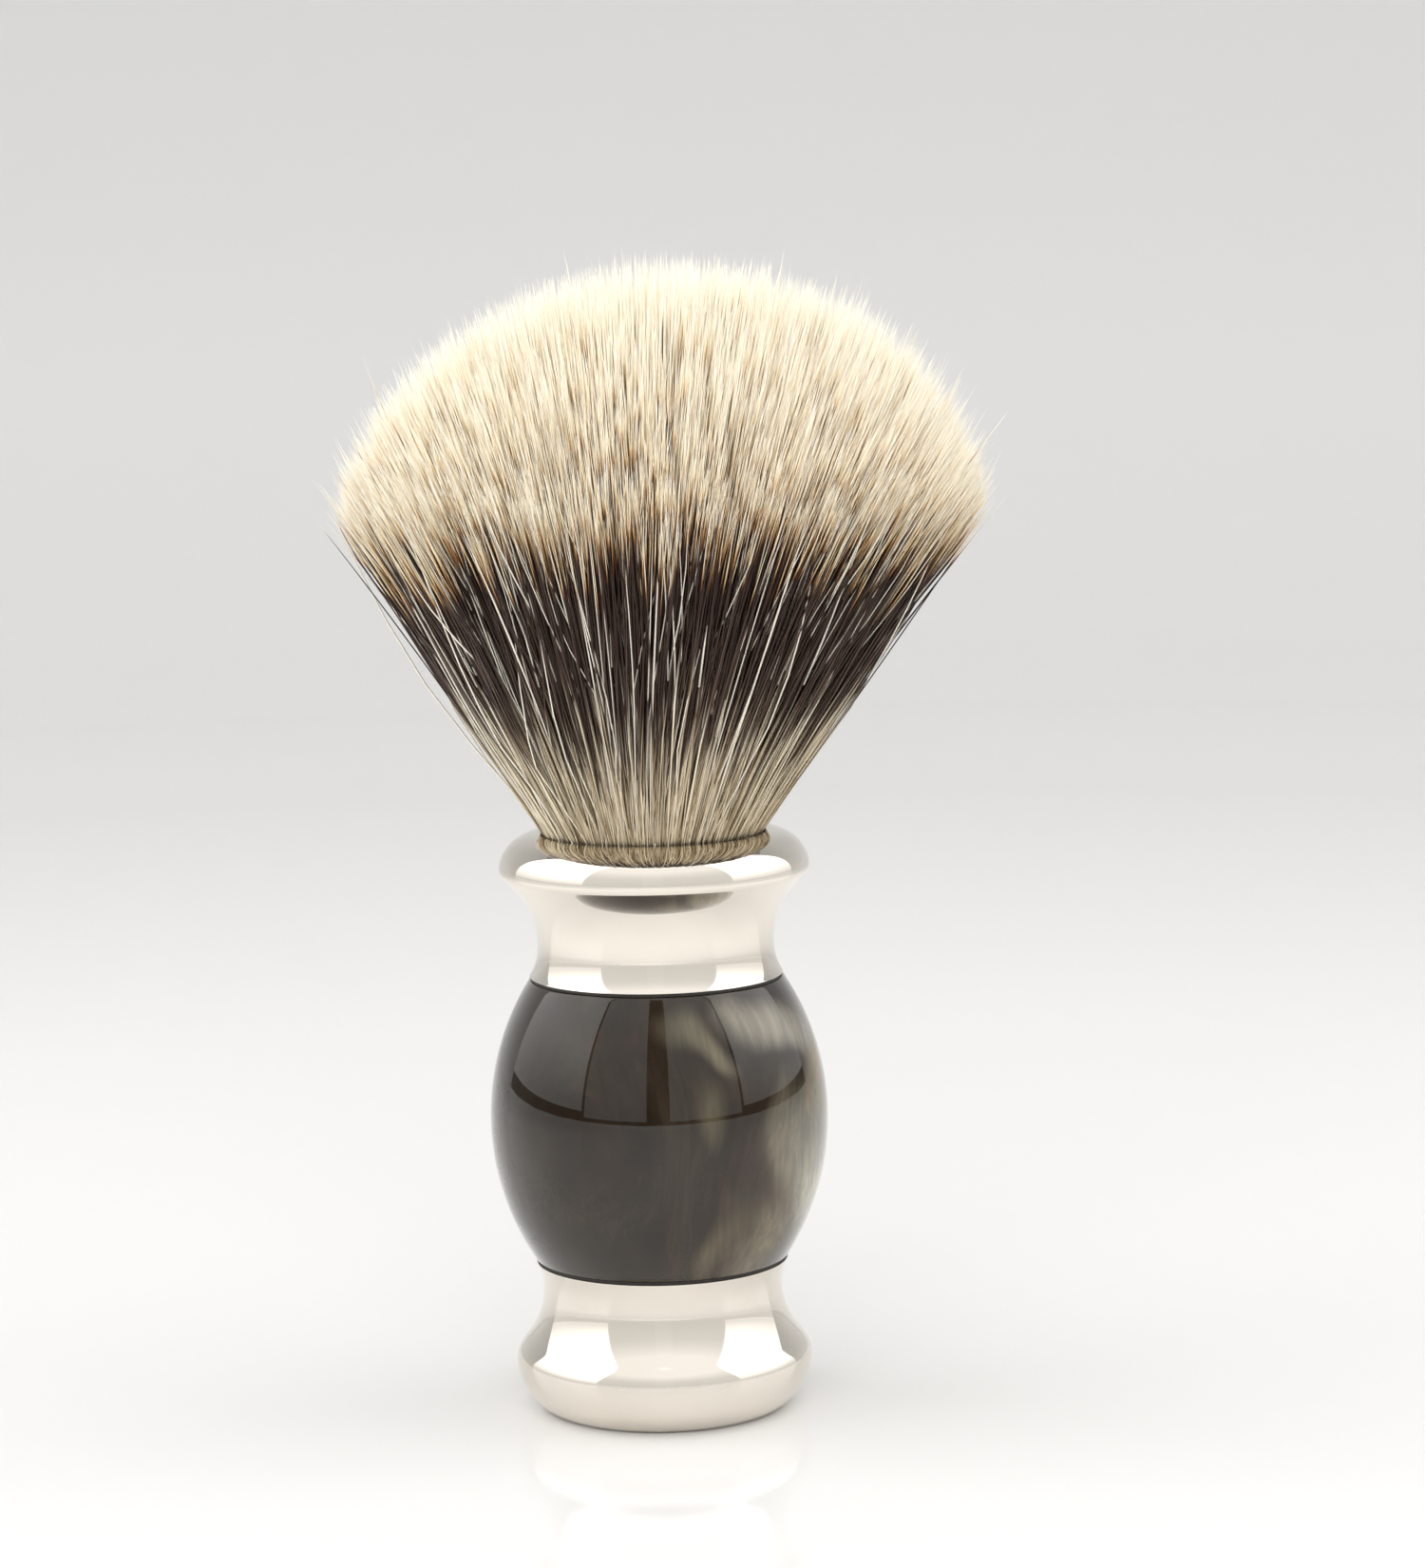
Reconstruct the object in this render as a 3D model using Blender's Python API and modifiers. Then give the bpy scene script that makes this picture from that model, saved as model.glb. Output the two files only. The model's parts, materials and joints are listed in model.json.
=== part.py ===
"""A shaving brush: a resin barrel clamped between a turned metal collar and foot, and a knot of badger
hair set in the collar's socket. Lengths are in metres, +Z is up, and the brush stands on z = 0."""

from math import atan2, cos, hypot, pi, radians, sin, sqrt

import bmesh
import bpy
from mathutils import Vector
from mathutils.geometry import interpolate_bezier

MM = 0.001

# Driving dimensions
CLEARANCE = 0.3 * MM  # between pieces that touch on the real brush
MOUTH_HEIGHT = 53.5 * MM  # top of the collar, where the hair comes out
MOUTH_RADIUS = 10.5 * MM
UPPER_JOINT = 40.2 * MM  # between barrel and collar
LOWER_JOINT = 14.0 * MM  # between foot and barrel
JOINT_RADIUS = 11.65 * MM
BARREL_RADIUS = 15.52 * MM
BLOOM_RADIUS = 29.8 * MM
BLOOM_CENTRE = 81.1 * MM  # height of the bloom's widest ring
BRUSH_HEIGHT = 105.6 * MM

# Collar
LIP_RADIUS = 14.2 * MM
LIP_HEIGHT = 50.2 * MM  # of the lip's widest ring
LIP_EDGE = 0.9 * MM  # rounding of the lip's lower edge
COLLAR_NECK_RADIUS = 10.85 * MM
COLLAR_NECK_HEIGHT = 43.3 * MM
SOCKET_RADIUS = 9.6 * MM
SOCKET_FLOOR = 42.0 * MM

# Foot
RIM_RADIUS = 13.65 * MM
RIM_HEIGHT = 4.7 * MM
FOOT_NECK_RADIUS = 11.0 * MM
FOOT_NECK_HEIGHT = 11.3 * MM
REST_RADIUS = 10.4 * MM  # outer edge of the ring that the brush stands on
RECESS_RADIUS = 9.5 * MM
RECESS_DEPTH = 1.6 * MM
NUT_WELL_RADIUS = 7.5 * MM
NUT_WELL_DEPTH = 11.0 * MM
DISC_THICKNESS = 0.8 * MM

# Spigots and the stud that pulls the handle together
SPIGOT_RADIUS = 8.0 * MM
COLLAR_SPIGOT = 7.0 * MM
FOOT_SPIGOT = 5.5 * MM
SPIGOT_CHAMFER = 0.4 * MM
STUD_RADIUS = 3.0 * MM
STUD_CORE_RADIUS = 2.55 * MM
STUD_BOTTOM = 2.6 * MM
STUD_TOP = 40.2 * MM
THREAD_PITCH = 1.0 * MM
LOWER_THREADS = 5
UPPER_THREADS = 6
TAPPED_DEPTH = 7.3 * MM
WASHER_RADIUS = 6.0 * MM
WASHER_THICKNESS = 1.6 * MM
NUT_ACROSS_FLATS = 10.0 * MM
NUT_THICKNESS = 3.2 * MM

# Seals, recessed in the barrel's ends
SEAL_RADIUS = 9.9 * MM
SEAL_THICKNESS = 0.6 * MM

# Knot
TIE_RADIUS = 9.3 * MM
TIE_STRAND = 0.35 * MM  # radius of the twine
TIE_TURNS = 3
TIE_PITCH = 0.75 * MM
PLUG_TOP = 48.3 * MM
BOUND_HAIR_RADIUS = 8.4 * MM
HAIR_SPREAD_START = Vector((10.1 * MM, 54.0 * MM))  # radius and height, just above the mouth
FLEX_SPHERE = 16.0 * MM  # the hair outside this distance from the mouth's centre flexes

BIG_ROUND = 40
SMALL_ROUND = 24
CURVE_STEPS = 6
CREASE_ANGLE = radians(30)

HALF_GAP = CLEARANCE / 2


def clear_scene():
    for obj in list(bpy.data.objects):
        bpy.data.objects.remove(obj, do_unlink=True)


def new_collection(name):
    collection = bpy.data.collections.new(name)
    bpy.context.scene.collection.children.link(collection)
    return collection


def new_material(name, colour, roughness, metallic=0.0):
    material = bpy.data.materials.new(name)
    material.use_nodes = True
    shader = material.node_tree.nodes["Principled BSDF"]
    shader.inputs["Base Color"].default_value = (*colour, 1.0)
    shader.inputs["Roughness"].default_value = roughness
    shader.inputs["Metallic"].default_value = metallic
    return material


def new_empty(name, height, parent=None):
    empty = bpy.data.objects.new(name, None)
    empty.empty_display_size = 10 * MM
    empty.location.z = height
    parts.objects.link(empty)
    if parent:
        empty.parent = parent
        empty.location.z -= parent.location.z
    return empty


def curve(start, start_handle, end_handle, end):
    """Points along a Bezier curve in the radius and height plane."""
    knots = [Vector(p) for p in (start, start_handle, end_handle, end)]
    return [tuple(p) for p in interpolate_bezier(*knots, CURVE_STEPS + 1)]


def arc(centre, radii, first, last, steps=CURVE_STEPS):
    """Points along an ellipse's arc, with its angles in degrees from the outward direction."""
    angles = [radians(first + (last - first) * i / steps) for i in range(steps + 1)]
    return [(centre[0] + radii[0] * cos(a), centre[1] + radii[1] * sin(a)) for a in angles]


def without_repeats(points):
    kept = [points[0]]
    for point in points[1:]:
        if hypot(point[0] - kept[-1][0], point[1] - kept[-1][1]) > 0.001 * MM:
            kept.append(point)
    return kept


def settle(obj):
    """Applies the modifiers, then shades the round stretches smooth and keeps the corners crisp."""
    evaluated = obj.evaluated_get(bpy.context.evaluated_depsgraph_get())
    mesh = bpy.data.meshes.new_from_object(evaluated)
    obj.modifiers.clear()
    obj.data = mesh
    mesh.name = obj.name
    mesh.shade_smooth()
    mesh.set_sharp_from_angle(angle=CREASE_ANGLE)


def turned(name, profile, material, parent, segments=BIG_ROUND, ring=False, collection=None):
    """A solid turned about Z. The profile lists (radius, height), down the outer side: from axis to
    axis, or, for a ring, once round its section."""
    points = without_repeats(profile)
    base = parent.matrix_world.translation.z
    mesh = bpy.data.meshes.new(name)
    edges = [(i, i + 1) for i in range(len(points) - 1)]
    if ring:
        edges.append((len(points) - 1, 0))
    mesh.from_pydata([(r, 0.0, z - base) for r, z in points], edges, [])
    obj = bpy.data.objects.new(name, mesh)
    (collection or parts).objects.link(obj)
    obj.parent = parent
    screw = obj.modifiers.new("Turn", "SCREW")
    screw.steps = screw.render_steps = segments
    screw.use_merge_vertices = True
    screw.merge_threshold = 0.001 * MM
    settle(obj)
    if material:
        obj.data.materials.append(material)
    return obj


def as_cutter(obj):
    obj.hide_render = True
    obj.display_type = "WIRE"
    return obj


def carve(obj, cutter, operation):
    """Cuts a solid with another, or keeps only what both hold."""
    boolean = obj.modifiers.new(cutter.name, "BOOLEAN")
    boolean.operation = operation
    boolean.object = cutter
    settle(obj)


def box_cutter(name, size, centre, tilt):
    mesh = bpy.data.meshes.new(name)
    shape = bmesh.new()
    bmesh.ops.create_cube(shape, size=1.0)
    bmesh.ops.scale(shape, vec=size, verts=shape.verts)
    shape.to_mesh(mesh)
    shape.free()
    obj = bpy.data.objects.new(name, mesh)
    cutters.objects.link(obj)
    obj.location = centre
    obj.rotation_euler.x = tilt
    bpy.context.view_layer.update()
    return as_cutter(obj)


def foot():
    """The turned base: a spigot into the barrel, a waist, a round rim and a well for the nut."""
    top = LOWER_JOINT - HALF_GAP
    spigot_top = LOWER_JOINT + FOOT_SPIGOT
    bore = STUD_RADIUS + CLEARANCE
    waist = (FOOT_NECK_RADIUS, FOOT_NECK_HEIGHT)
    shoulder = (12.75 * MM, 6.6 * MM)
    rim = (RIM_RADIUS, RIM_HEIGHT)
    profile = [
        (bore, spigot_top),
        (SPIGOT_RADIUS - SPIGOT_CHAMFER, spigot_top),
        (SPIGOT_RADIUS, spigot_top - SPIGOT_CHAMFER),
        (SPIGOT_RADIUS, top),
    ]
    profile += curve((JOINT_RADIUS, top), (11.25 * MM, 13.1 * MM), (waist[0], 12.3 * MM), waist)
    profile += curve(waist, (waist[0], 9.3 * MM), (11.9 * MM, 7.7 * MM), shoulder)
    profile += curve(shoulder, (13.3 * MM, 5.9 * MM), (RIM_RADIUS, 5.4 * MM), rim)
    profile += curve(rim, (RIM_RADIUS, 2.6 * MM), (12.1 * MM, 0.3 * MM), (REST_RADIUS, 0.0))
    profile += [
        (RECESS_RADIUS, 0.0),
        (RECESS_RADIUS, RECESS_DEPTH),
        (NUT_WELL_RADIUS, RECESS_DEPTH),
        (NUT_WELL_RADIUS, NUT_WELL_DEPTH),
        (bore, NUT_WELL_DEPTH),
    ]
    turned("foot", profile, chrome, handle, ring=True)


def base_disc():
    """The thin cap in the foot's recess, set back from the ring that the brush stands on."""
    radius = RECESS_RADIUS - CLEARANCE
    top = RECESS_DEPTH - CLEARANCE
    edge = 0.2 * MM
    bottom = top - DISC_THICKNESS
    profile = [(0.0, top), (radius, top), (radius, bottom + edge), (radius - edge, bottom), (0.0, bottom)]
    turned("base_disc", profile, felt, handle)


def barrel():
    """The bulging grip, one circular arc from joint to joint, bored for the stud and both spigots."""
    top = UPPER_JOINT - HALF_GAP
    bottom = LOWER_JOINT + HALF_GAP
    middle = (top + bottom) / 2
    half_height = (top - bottom) / 2
    bulge = BARREL_RADIUS - JOINT_RADIUS
    arc_radius = (half_height**2 + bulge**2) / (2 * bulge)
    sweep = 90 - 180 / pi * atan2(arc_radius - bulge, half_height)
    counterbore = SPIGOT_RADIUS + CLEARANCE
    bore = STUD_RADIUS + 0.5 * MM
    rebate = SEAL_RADIUS + CLEARANCE
    rebate_depth = SEAL_THICKNESS + CLEARANCE
    centre = (BARREL_RADIUS - arc_radius, middle)
    web_top = UPPER_JOINT - COLLAR_SPIGOT - CLEARANCE
    web_bottom = LOWER_JOINT + FOOT_SPIGOT + CLEARANCE
    profile = [(rebate, top)]
    profile += arc(centre, (arc_radius, arc_radius), sweep, -sweep, steps=14)
    profile += [
        (rebate, bottom),
        (rebate, bottom + rebate_depth),
        (counterbore, bottom + rebate_depth),
        (counterbore, web_bottom),
        (bore, web_bottom),
        (bore, web_top),
        (counterbore, web_top),
        (counterbore, top - rebate_depth),
        (rebate, top - rebate_depth),
    ]
    turned("barrel", profile, horn_resin, handle, ring=True)


def collar():
    """The turned top: a socket for the knot, a rolled lip, a waist and a tapped spigot."""
    bottom = UPPER_JOINT + HALF_GAP
    spigot_bottom = UPPER_JOINT - COLLAR_SPIGOT
    bore = STUD_RADIUS + CLEARANCE
    lip_roll = (LIP_RADIUS - MOUTH_RADIUS, MOUTH_HEIGHT - LIP_HEIGHT)
    edge = arc((LIP_RADIUS - LIP_EDGE, LIP_HEIGHT), (LIP_EDGE, LIP_EDGE), 0, -60, steps=4)
    waist = (COLLAR_NECK_RADIUS, COLLAR_NECK_HEIGHT)
    crest = (MOUTH_RADIUS, MOUTH_HEIGHT)
    profile = [(0.0, SOCKET_FLOOR), (SOCKET_RADIUS, SOCKET_FLOOR)]
    profile += curve((SOCKET_RADIUS, 51.6 * MM), (SOCKET_RADIUS, 52.6 * MM), (9.9 * MM, MOUTH_HEIGHT), crest)
    profile += arc((MOUTH_RADIUS, LIP_HEIGHT), lip_roll, 90, 0)
    profile += edge
    profile += curve(edge[-1], (12.1 * MM, 48.5 * MM), (waist[0], 46.3 * MM), waist)
    profile += curve(waist, (waist[0], 42.2 * MM), (11.1 * MM, 41.1 * MM), (JOINT_RADIUS, bottom))
    profile += [
        (SPIGOT_RADIUS, bottom),
        (SPIGOT_RADIUS, spigot_bottom + SPIGOT_CHAMFER),
        (SPIGOT_RADIUS - SPIGOT_CHAMFER, spigot_bottom),
        (bore, spigot_bottom),
        (bore, spigot_bottom + TAPPED_DEPTH),
        (0.0, spigot_bottom + TAPPED_DEPTH),
    ]
    turned("collar", profile, chrome, handle)


def seal(name, low):
    """A thin dark washer between the resin and the metal."""
    inner = SPIGOT_RADIUS + 2 * CLEARANCE
    high = low + SEAL_THICKNESS
    profile = [(inner, high), (SEAL_RADIUS, high), (SEAL_RADIUS, low), (inner, low)]
    turned(name, profile, seal_rubber, handle, ring=True)


def threads(top, count):
    """Ridges down a threaded stretch, one for each turn, cut into the shank from its full radius."""
    ridges = []
    for turn in range(count):
        crest = top - turn * THREAD_PITCH
        ridges += [(STUD_RADIUS, crest - 0.4 * THREAD_PITCH), (STUD_CORE_RADIUS, crest - THREAD_PITCH)]
    return ridges


def tie_stud():
    """The long stud that draws collar, barrel and foot together, threaded at both ends."""
    tip = STUD_CORE_RADIUS - 0.4 * MM
    lower_thread_top = STUD_BOTTOM + 0.4 * MM + LOWER_THREADS * THREAD_PITCH
    profile = [(0.0, STUD_TOP), (tip, STUD_TOP), (STUD_CORE_RADIUS, STUD_TOP - 0.4 * MM)]
    profile += threads(STUD_TOP - 0.4 * MM, UPPER_THREADS)
    profile += [(STUD_CORE_RADIUS, lower_thread_top)]
    profile += threads(lower_thread_top, LOWER_THREADS)
    profile += [(tip, STUD_BOTTOM), (0.0, STUD_BOTTOM)]
    turned("tie_stud", profile, steel, handle, segments=16)


def washer(name, top):
    inner = STUD_RADIUS + CLEARANCE
    bottom = top - WASHER_THICKNESS
    profile = [(inner, top), (WASHER_RADIUS, top), (WASHER_RADIUS, bottom), (inner, bottom)]
    return turned(name, profile, steel, handle, segments=SMALL_ROUND, ring=True)


def lock_washer(top):
    """A spring washer: a ring with one slanted split."""
    ring = washer("lock_washer", top)
    middle = (WASHER_RADIUS, 0.0, top - WASHER_THICKNESS / 2)
    slit = box_cutter("lock_washer_split", (2 * WASHER_RADIUS, 0.8 * MM, 6 * MM), middle, radians(35))
    carve(ring, slit, "DIFFERENCE")


def stud_nut(top):
    """A thin hexagon nut with its corners turned off on both faces."""
    corner = NUT_ACROSS_FLATS / sqrt(3)
    mesh = bpy.data.meshes.new("stud_nut")
    shape = bmesh.new()
    bmesh.ops.create_cone(
        shape, cap_ends=True, segments=6, radius1=corner, radius2=corner, depth=NUT_THICKNESS
    )
    shape.to_mesh(mesh)
    shape.free()
    obj = bpy.data.objects.new("stud_nut", mesh)
    parts.objects.link(obj)
    obj.parent = handle
    obj.location.z = top - NUT_THICKNESS / 2
    bpy.context.view_layer.update()

    low = top - NUT_THICKNESS
    face = NUT_ACROSS_FLATS / 2 - 0.1 * MM
    chamfer = 0.5 * MM
    spare = 1.0 * MM
    rounding = [
        (0.0, top + spare),
        (face - spare, top + spare),
        (face, top),
        (corner + 0.2 * MM, top - chamfer),
        (corner + 0.2 * MM, low + chamfer),
        (face, low),
        (face - spare, low - spare),
        (0.0, low - spare),
    ]
    bore_radius = STUD_RADIUS + CLEARANCE
    bore = [(0.0, top + spare), (bore_radius, top + spare), (bore_radius, low - spare), (0.0, low - spare)]
    rounder = turned("stud_nut_rounding", rounding, None, handle, SMALL_ROUND, collection=cutters)
    drill = turned("stud_nut_bore", bore, None, handle, SMALL_ROUND, collection=cutters)
    carve(obj, as_cutter(rounder), "INTERSECT")
    carve(obj, as_cutter(drill), "DIFFERENCE")
    obj.data.materials.append(steel)


def fasteners():
    """Flat washer, spring washer and nut, stacked under the floor of the foot's well."""
    washer_top = NUT_WELL_DEPTH - CLEARANCE
    lock_top = washer_top - WASHER_THICKNESS - CLEARANCE
    nut_top = lock_top - WASHER_THICKNESS - CLEARANCE
    washer("flat_washer", washer_top)
    lock_washer(lock_top)
    stud_nut(nut_top)


def knot_plug():
    """The set resin that holds the hairs' cut ends together."""
    radius = SOCKET_RADIUS - CLEARANCE
    bottom = SOCKET_FLOOR + CLEARANCE
    edge = 0.6 * MM
    profile = [(0.0, PLUG_TOP)]
    profile += arc((radius - edge, PLUG_TOP - edge), (edge, edge), 90, 0, steps=3)
    profile += arc((radius - edge, bottom + edge), (edge, edge), 0, -90, steps=3)
    profile += [(0.0, bottom)]
    turned("knot_plug", profile, resin, handle, segments=SMALL_ROUND)


def knot_tie():
    """The twine wound round the hair just above the plug."""
    inner = BOUND_HAIR_RADIUS + CLEARANCE
    highest = PLUG_TOP + CLEARANCE + TIE_STRAND + (TIE_TURNS - 1) * TIE_PITCH
    profile = []
    for turn in range(TIE_TURNS):
        centre = (TIE_RADIUS - TIE_STRAND, highest - turn * TIE_PITCH)
        profile += arc(centre, (TIE_STRAND, TIE_STRAND), 90, -90, steps=4)
    profile += [(inner, profile[-1][1]), (inner, profile[0][1])]
    turned("knot_tie", profile, twine, handle, segments=SMALL_ROUND, ring=True)


def spread_line(distance):
    """The point on the hair's straight flare that lies this far from the centre of the mouth."""
    start = HAIR_SPREAD_START - Vector((0.0, MOUTH_HEIGHT))
    direction = Vector((BLOOM_RADIUS, BLOOM_CENTRE)) - HAIR_SPREAD_START
    direction.normalize()
    along = start.dot(direction)
    reach = -along + sqrt(along**2 - start.length_squared + distance**2)
    return tuple(HAIR_SPREAD_START + reach * direction)


def sphere_to_axis(distance, steps=7):
    """Points from the flare's line to the axis, all at one distance from the mouth's centre."""
    edge = spread_line(distance)
    first = atan2(edge[1] - MOUTH_HEIGHT, edge[0])
    angles = [first + (pi / 2 - first) * i / steps for i in range(steps)]
    points = [(distance * cos(a), MOUTH_HEIGHT + distance * sin(a)) for a in angles]
    return points + [(0.0, MOUTH_HEIGHT + distance)]


def hair_root():
    """The lower hair, bound by the twine, filling the mouth and ending at the flex sphere."""
    bottom = PLUG_TOP + CLEARANCE
    bound_top = (BOUND_HAIR_RADIUS, 51.2 * MM)
    flare = tuple(HAIR_SPREAD_START)
    profile = list(reversed(sphere_to_axis(FLEX_SPHERE)))
    profile += list(reversed(curve(bound_top, (8.8 * MM, 52.2 * MM), (9.4 * MM, 53.0 * MM), flare)))
    profile += [(BOUND_HAIR_RADIUS, bottom), (0.0, bottom)]
    turned("hair_root", profile, hair, handle)


def hair_bloom():
    """The upper hair, a cone opening to a domed bulb, hollowed below to turn on the flex sphere."""
    dome = (BLOOM_RADIUS, BRUSH_HEIGHT - BLOOM_CENTRE)
    profile = arc((0.0, BLOOM_CENTRE), dome, 90, 0, steps=12)
    profile[0] = (0.0, BRUSH_HEIGHT)
    profile += sphere_to_axis(FLEX_SPHERE + CLEARANCE)
    turned("hair_bloom", profile, hair, knot_flex)


clear_scene()
parts = new_collection("shaving_brush")
cutters = new_collection("cutters")

chrome = new_material("polished_chrome", (0.80, 0.79, 0.77), 0.06, 1.0)
horn_resin = new_material("horn_resin", (0.09, 0.075, 0.06), 0.12)
steel = new_material("zinc_plated_steel", (0.60, 0.60, 0.61), 0.35, 1.0)
seal_rubber = new_material("black_seal", (0.02, 0.02, 0.02), 0.6)
resin = new_material("set_resin", (0.55, 0.42, 0.20), 0.3)
twine = new_material("waxed_twine", (0.70, 0.62, 0.45), 0.8)
hair = new_material("badger_hair", (0.52, 0.45, 0.35), 0.7)
felt = new_material("base_felt", (0.03, 0.03, 0.03), 0.95)

handle = new_empty("handle", 0.0)
knot_flex = new_empty("knot_flex", MOUTH_HEIGHT, handle)
bpy.context.view_layer.update()

foot()
base_disc()
barrel()
collar()
seal("upper_seal", UPPER_JOINT - HALF_GAP - SEAL_THICKNESS)
seal("lower_seal", LOWER_JOINT + HALF_GAP)
tie_stud()
fasteners()
knot_plug()
knot_tie()
hair_root()
hair_bloom()
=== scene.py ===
# %% [markdown]
# # A shaving brush: polished metal, imitation horn and badger hair
# The brush has three finishes that each need their own approach in Blender. Mirror-bright metal is all
# reflection, so its outline has to be a clean turned curve and the room round it has to be worth
# reflecting. The horn-look resin is all colour in depth under a clear polish. The knot is thousands of
# separate hairs, each pale at its root, dark in its middle and cream at its tip.
#
# The measured frame comes first. Every place and size below is read from it, so the looks sit exactly on
# the design.

# %% Load the frame
import json
import math

import bpy
import numpy as np
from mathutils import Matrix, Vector
from mathutils.geometry import interpolate_bezier


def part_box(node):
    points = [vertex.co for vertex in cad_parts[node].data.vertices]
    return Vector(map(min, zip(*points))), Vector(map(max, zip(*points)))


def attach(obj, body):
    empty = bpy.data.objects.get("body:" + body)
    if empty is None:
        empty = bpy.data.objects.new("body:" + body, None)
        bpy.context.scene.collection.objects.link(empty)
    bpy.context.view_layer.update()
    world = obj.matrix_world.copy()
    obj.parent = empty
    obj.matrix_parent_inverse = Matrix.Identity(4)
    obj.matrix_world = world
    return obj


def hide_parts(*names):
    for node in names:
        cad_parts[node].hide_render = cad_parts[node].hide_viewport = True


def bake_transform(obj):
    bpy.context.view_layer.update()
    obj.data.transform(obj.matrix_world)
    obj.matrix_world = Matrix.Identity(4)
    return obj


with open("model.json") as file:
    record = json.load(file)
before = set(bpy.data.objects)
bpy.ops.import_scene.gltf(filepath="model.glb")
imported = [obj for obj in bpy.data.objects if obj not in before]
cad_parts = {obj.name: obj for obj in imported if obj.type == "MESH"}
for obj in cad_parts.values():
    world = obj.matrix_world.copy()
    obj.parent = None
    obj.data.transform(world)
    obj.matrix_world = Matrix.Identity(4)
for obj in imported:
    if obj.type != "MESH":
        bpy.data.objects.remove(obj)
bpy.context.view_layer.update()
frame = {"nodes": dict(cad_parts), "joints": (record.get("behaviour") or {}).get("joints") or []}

# %% Read the sizes that everything hangs on
MM = 0.001

foot_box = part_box("foot")
barrel_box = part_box("barrel")
collar_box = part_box("collar")
bloom_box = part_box("hair_bloom")
seal_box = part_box("upper_seal")

MOUTH = Vector(frame["joints"][0]["pos_m"])  # centre of the collar's mouth, where the hair flexes
JOINT_GAP = 0.3 * MM  # what the dark line between metal and resin measures
UPPER_JOINT = barrel_box[1].z + JOINT_GAP / 2
LOWER_JOINT = barrel_box[0].z - JOINT_GAP / 2
print(f"mouth at {MOUTH.z / MM:.1f} mm, joints at {LOWER_JOINT / MM:.1f} and {UPPER_JOINT / MM:.1f} mm")

# %% [markdown]
# ## The camera
# The brush is looked at from a little above the table with a long lens, so the grip keeps its true bulge
# and the two joints show as shallow ellipses. The camera stands slightly to the right and is turned a
# touch about its own axis, which makes the handle lean a degree to the left.

# %% Place the camera
CAMERA_PLACE = Vector((0.0055, -0.394, 0.1071))
CAMERA_DIP = math.radians(7.15)
CAMERA_ROLL = math.radians(-1.16)

camera_data = bpy.data.cameras.new("camera")
camera_data.lens = 100
camera_data.sensor_width = 36
camera_data.clip_start = 0.01
camera_data.clip_end = 10
camera = bpy.data.objects.new("camera", camera_data)
bpy.context.scene.collection.objects.link(camera)
bpy.context.scene.camera = camera
camera.location = CAMERA_PLACE
camera.rotation_mode = "XYZ"
look = Vector((0, math.cos(CAMERA_DIP), -math.sin(CAMERA_DIP))).to_track_quat("-Z", "Y")
camera.rotation_euler = look.to_euler()
camera.rotation_euler.rotate_axis("Z", CAMERA_ROLL)
print("camera", [round(v, 4) for v in camera.location])

# %% [markdown]
# ## Small helpers for meshes
# Everything on the handle is turned on a lathe, so one helper carries it all: a profile in the plane of
# radius and height, and a Screw modifier that turns it. Bezier curves and ellipse arcs give the profile its
# sweep. A real edge is never perfectly sharp, and on bright metal a sharp one looks cut from paper, so the
# sharp corners of each profile are rounded before it is turned.

# %% Curves and corners of a profile
def curve(start, start_handle, end_handle, end, steps=16):
    """Points along a Bezier curve in the plane of radius and height."""
    knots = [Vector(p) for p in (start, start_handle, end_handle, end)]
    return [tuple(p) for p in interpolate_bezier(*knots, steps + 1)]


def arc(centre, radii, first, last, steps=16):
    """Points along an ellipse's arc, its angles in degrees from straight outwards."""
    angles = np.radians(np.linspace(first, last, steps + 1))
    return [(centre[0] + radii[0] * math.cos(a), centre[1] + radii[1] * math.sin(a)) for a in angles]


def rounded(profile, radius, closed, steps=4):
    """The profile with each sharp corner replaced by a small curve."""
    points = [Vector(p) for p in profile]
    points = [p for i, p in enumerate(points) if i == 0 or (p - points[i - 1]).length > 1e-7]
    result = []
    for i, corner in enumerate(points):
        if not closed and i in (0, len(points) - 1):
            result.append(corner)
            continue
        back, ahead = points[i - 1] - corner, points[(i + 1) % len(points)] - corner
        turning = math.pi - back.angle(ahead)
        if turning < math.radians(25):
            result.append(corner)
            continue
        start = corner + back.normalized() * min(radius, 0.4 * back.length)
        end = corner + ahead.normalized() * min(radius, 0.4 * ahead.length)
        result += [
            start.lerp(corner, t).lerp(corner.lerp(end, t), t) for t in np.linspace(0, 1, steps + 1)
        ]
    return [tuple(p) for p in result]


# %% Turn a profile into a piece
def settle(piece):
    """Applies a piece's modifiers to its mesh."""
    evaluated = piece.evaluated_get(bpy.context.evaluated_depsgraph_get())
    mesh = bpy.data.meshes.new_from_object(evaluated)
    piece.modifiers.clear()
    piece.data = mesh
    mesh.name = piece.name


def turned(name, profile, material, edge=0.15 * MM, closed=False, segments=160, crease=40):
    """A piece turned about Z. The profile runs down its outer side, from axis to axis or in a loop."""
    points = rounded(profile, edge, closed)
    links = [(i, i + 1) for i in range(len(points) - 1)]
    if closed:
        links.append((len(points) - 1, 0))
    mesh = bpy.data.meshes.new(name)
    mesh.from_pydata([(r, 0, z) for r, z in points], links, [])
    piece = bpy.data.objects.new(name, mesh)
    bpy.context.scene.collection.objects.link(piece)
    screw = piece.modifiers.new("turn", "SCREW")
    screw.steps = screw.render_steps = segments
    screw.use_merge_vertices = True
    screw.merge_threshold = 1e-6
    settle(piece)
    piece.data.shade_smooth()
    piece.data.set_sharp_from_angle(angle=math.radians(crease))
    piece.data.materials.append(material)
    print(f"{name}: {len(piece.data.polygons)} faces")
    return piece


# %% [markdown]
# ## Small helpers for materials
# A material here is a Principled BSDF fed by a few textures. `add` makes a node, sets its properties and
# plugs in its inputs in one call, which keeps each material short enough to read. Effects that several
# finishes share become node groups with named sockets.

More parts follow.
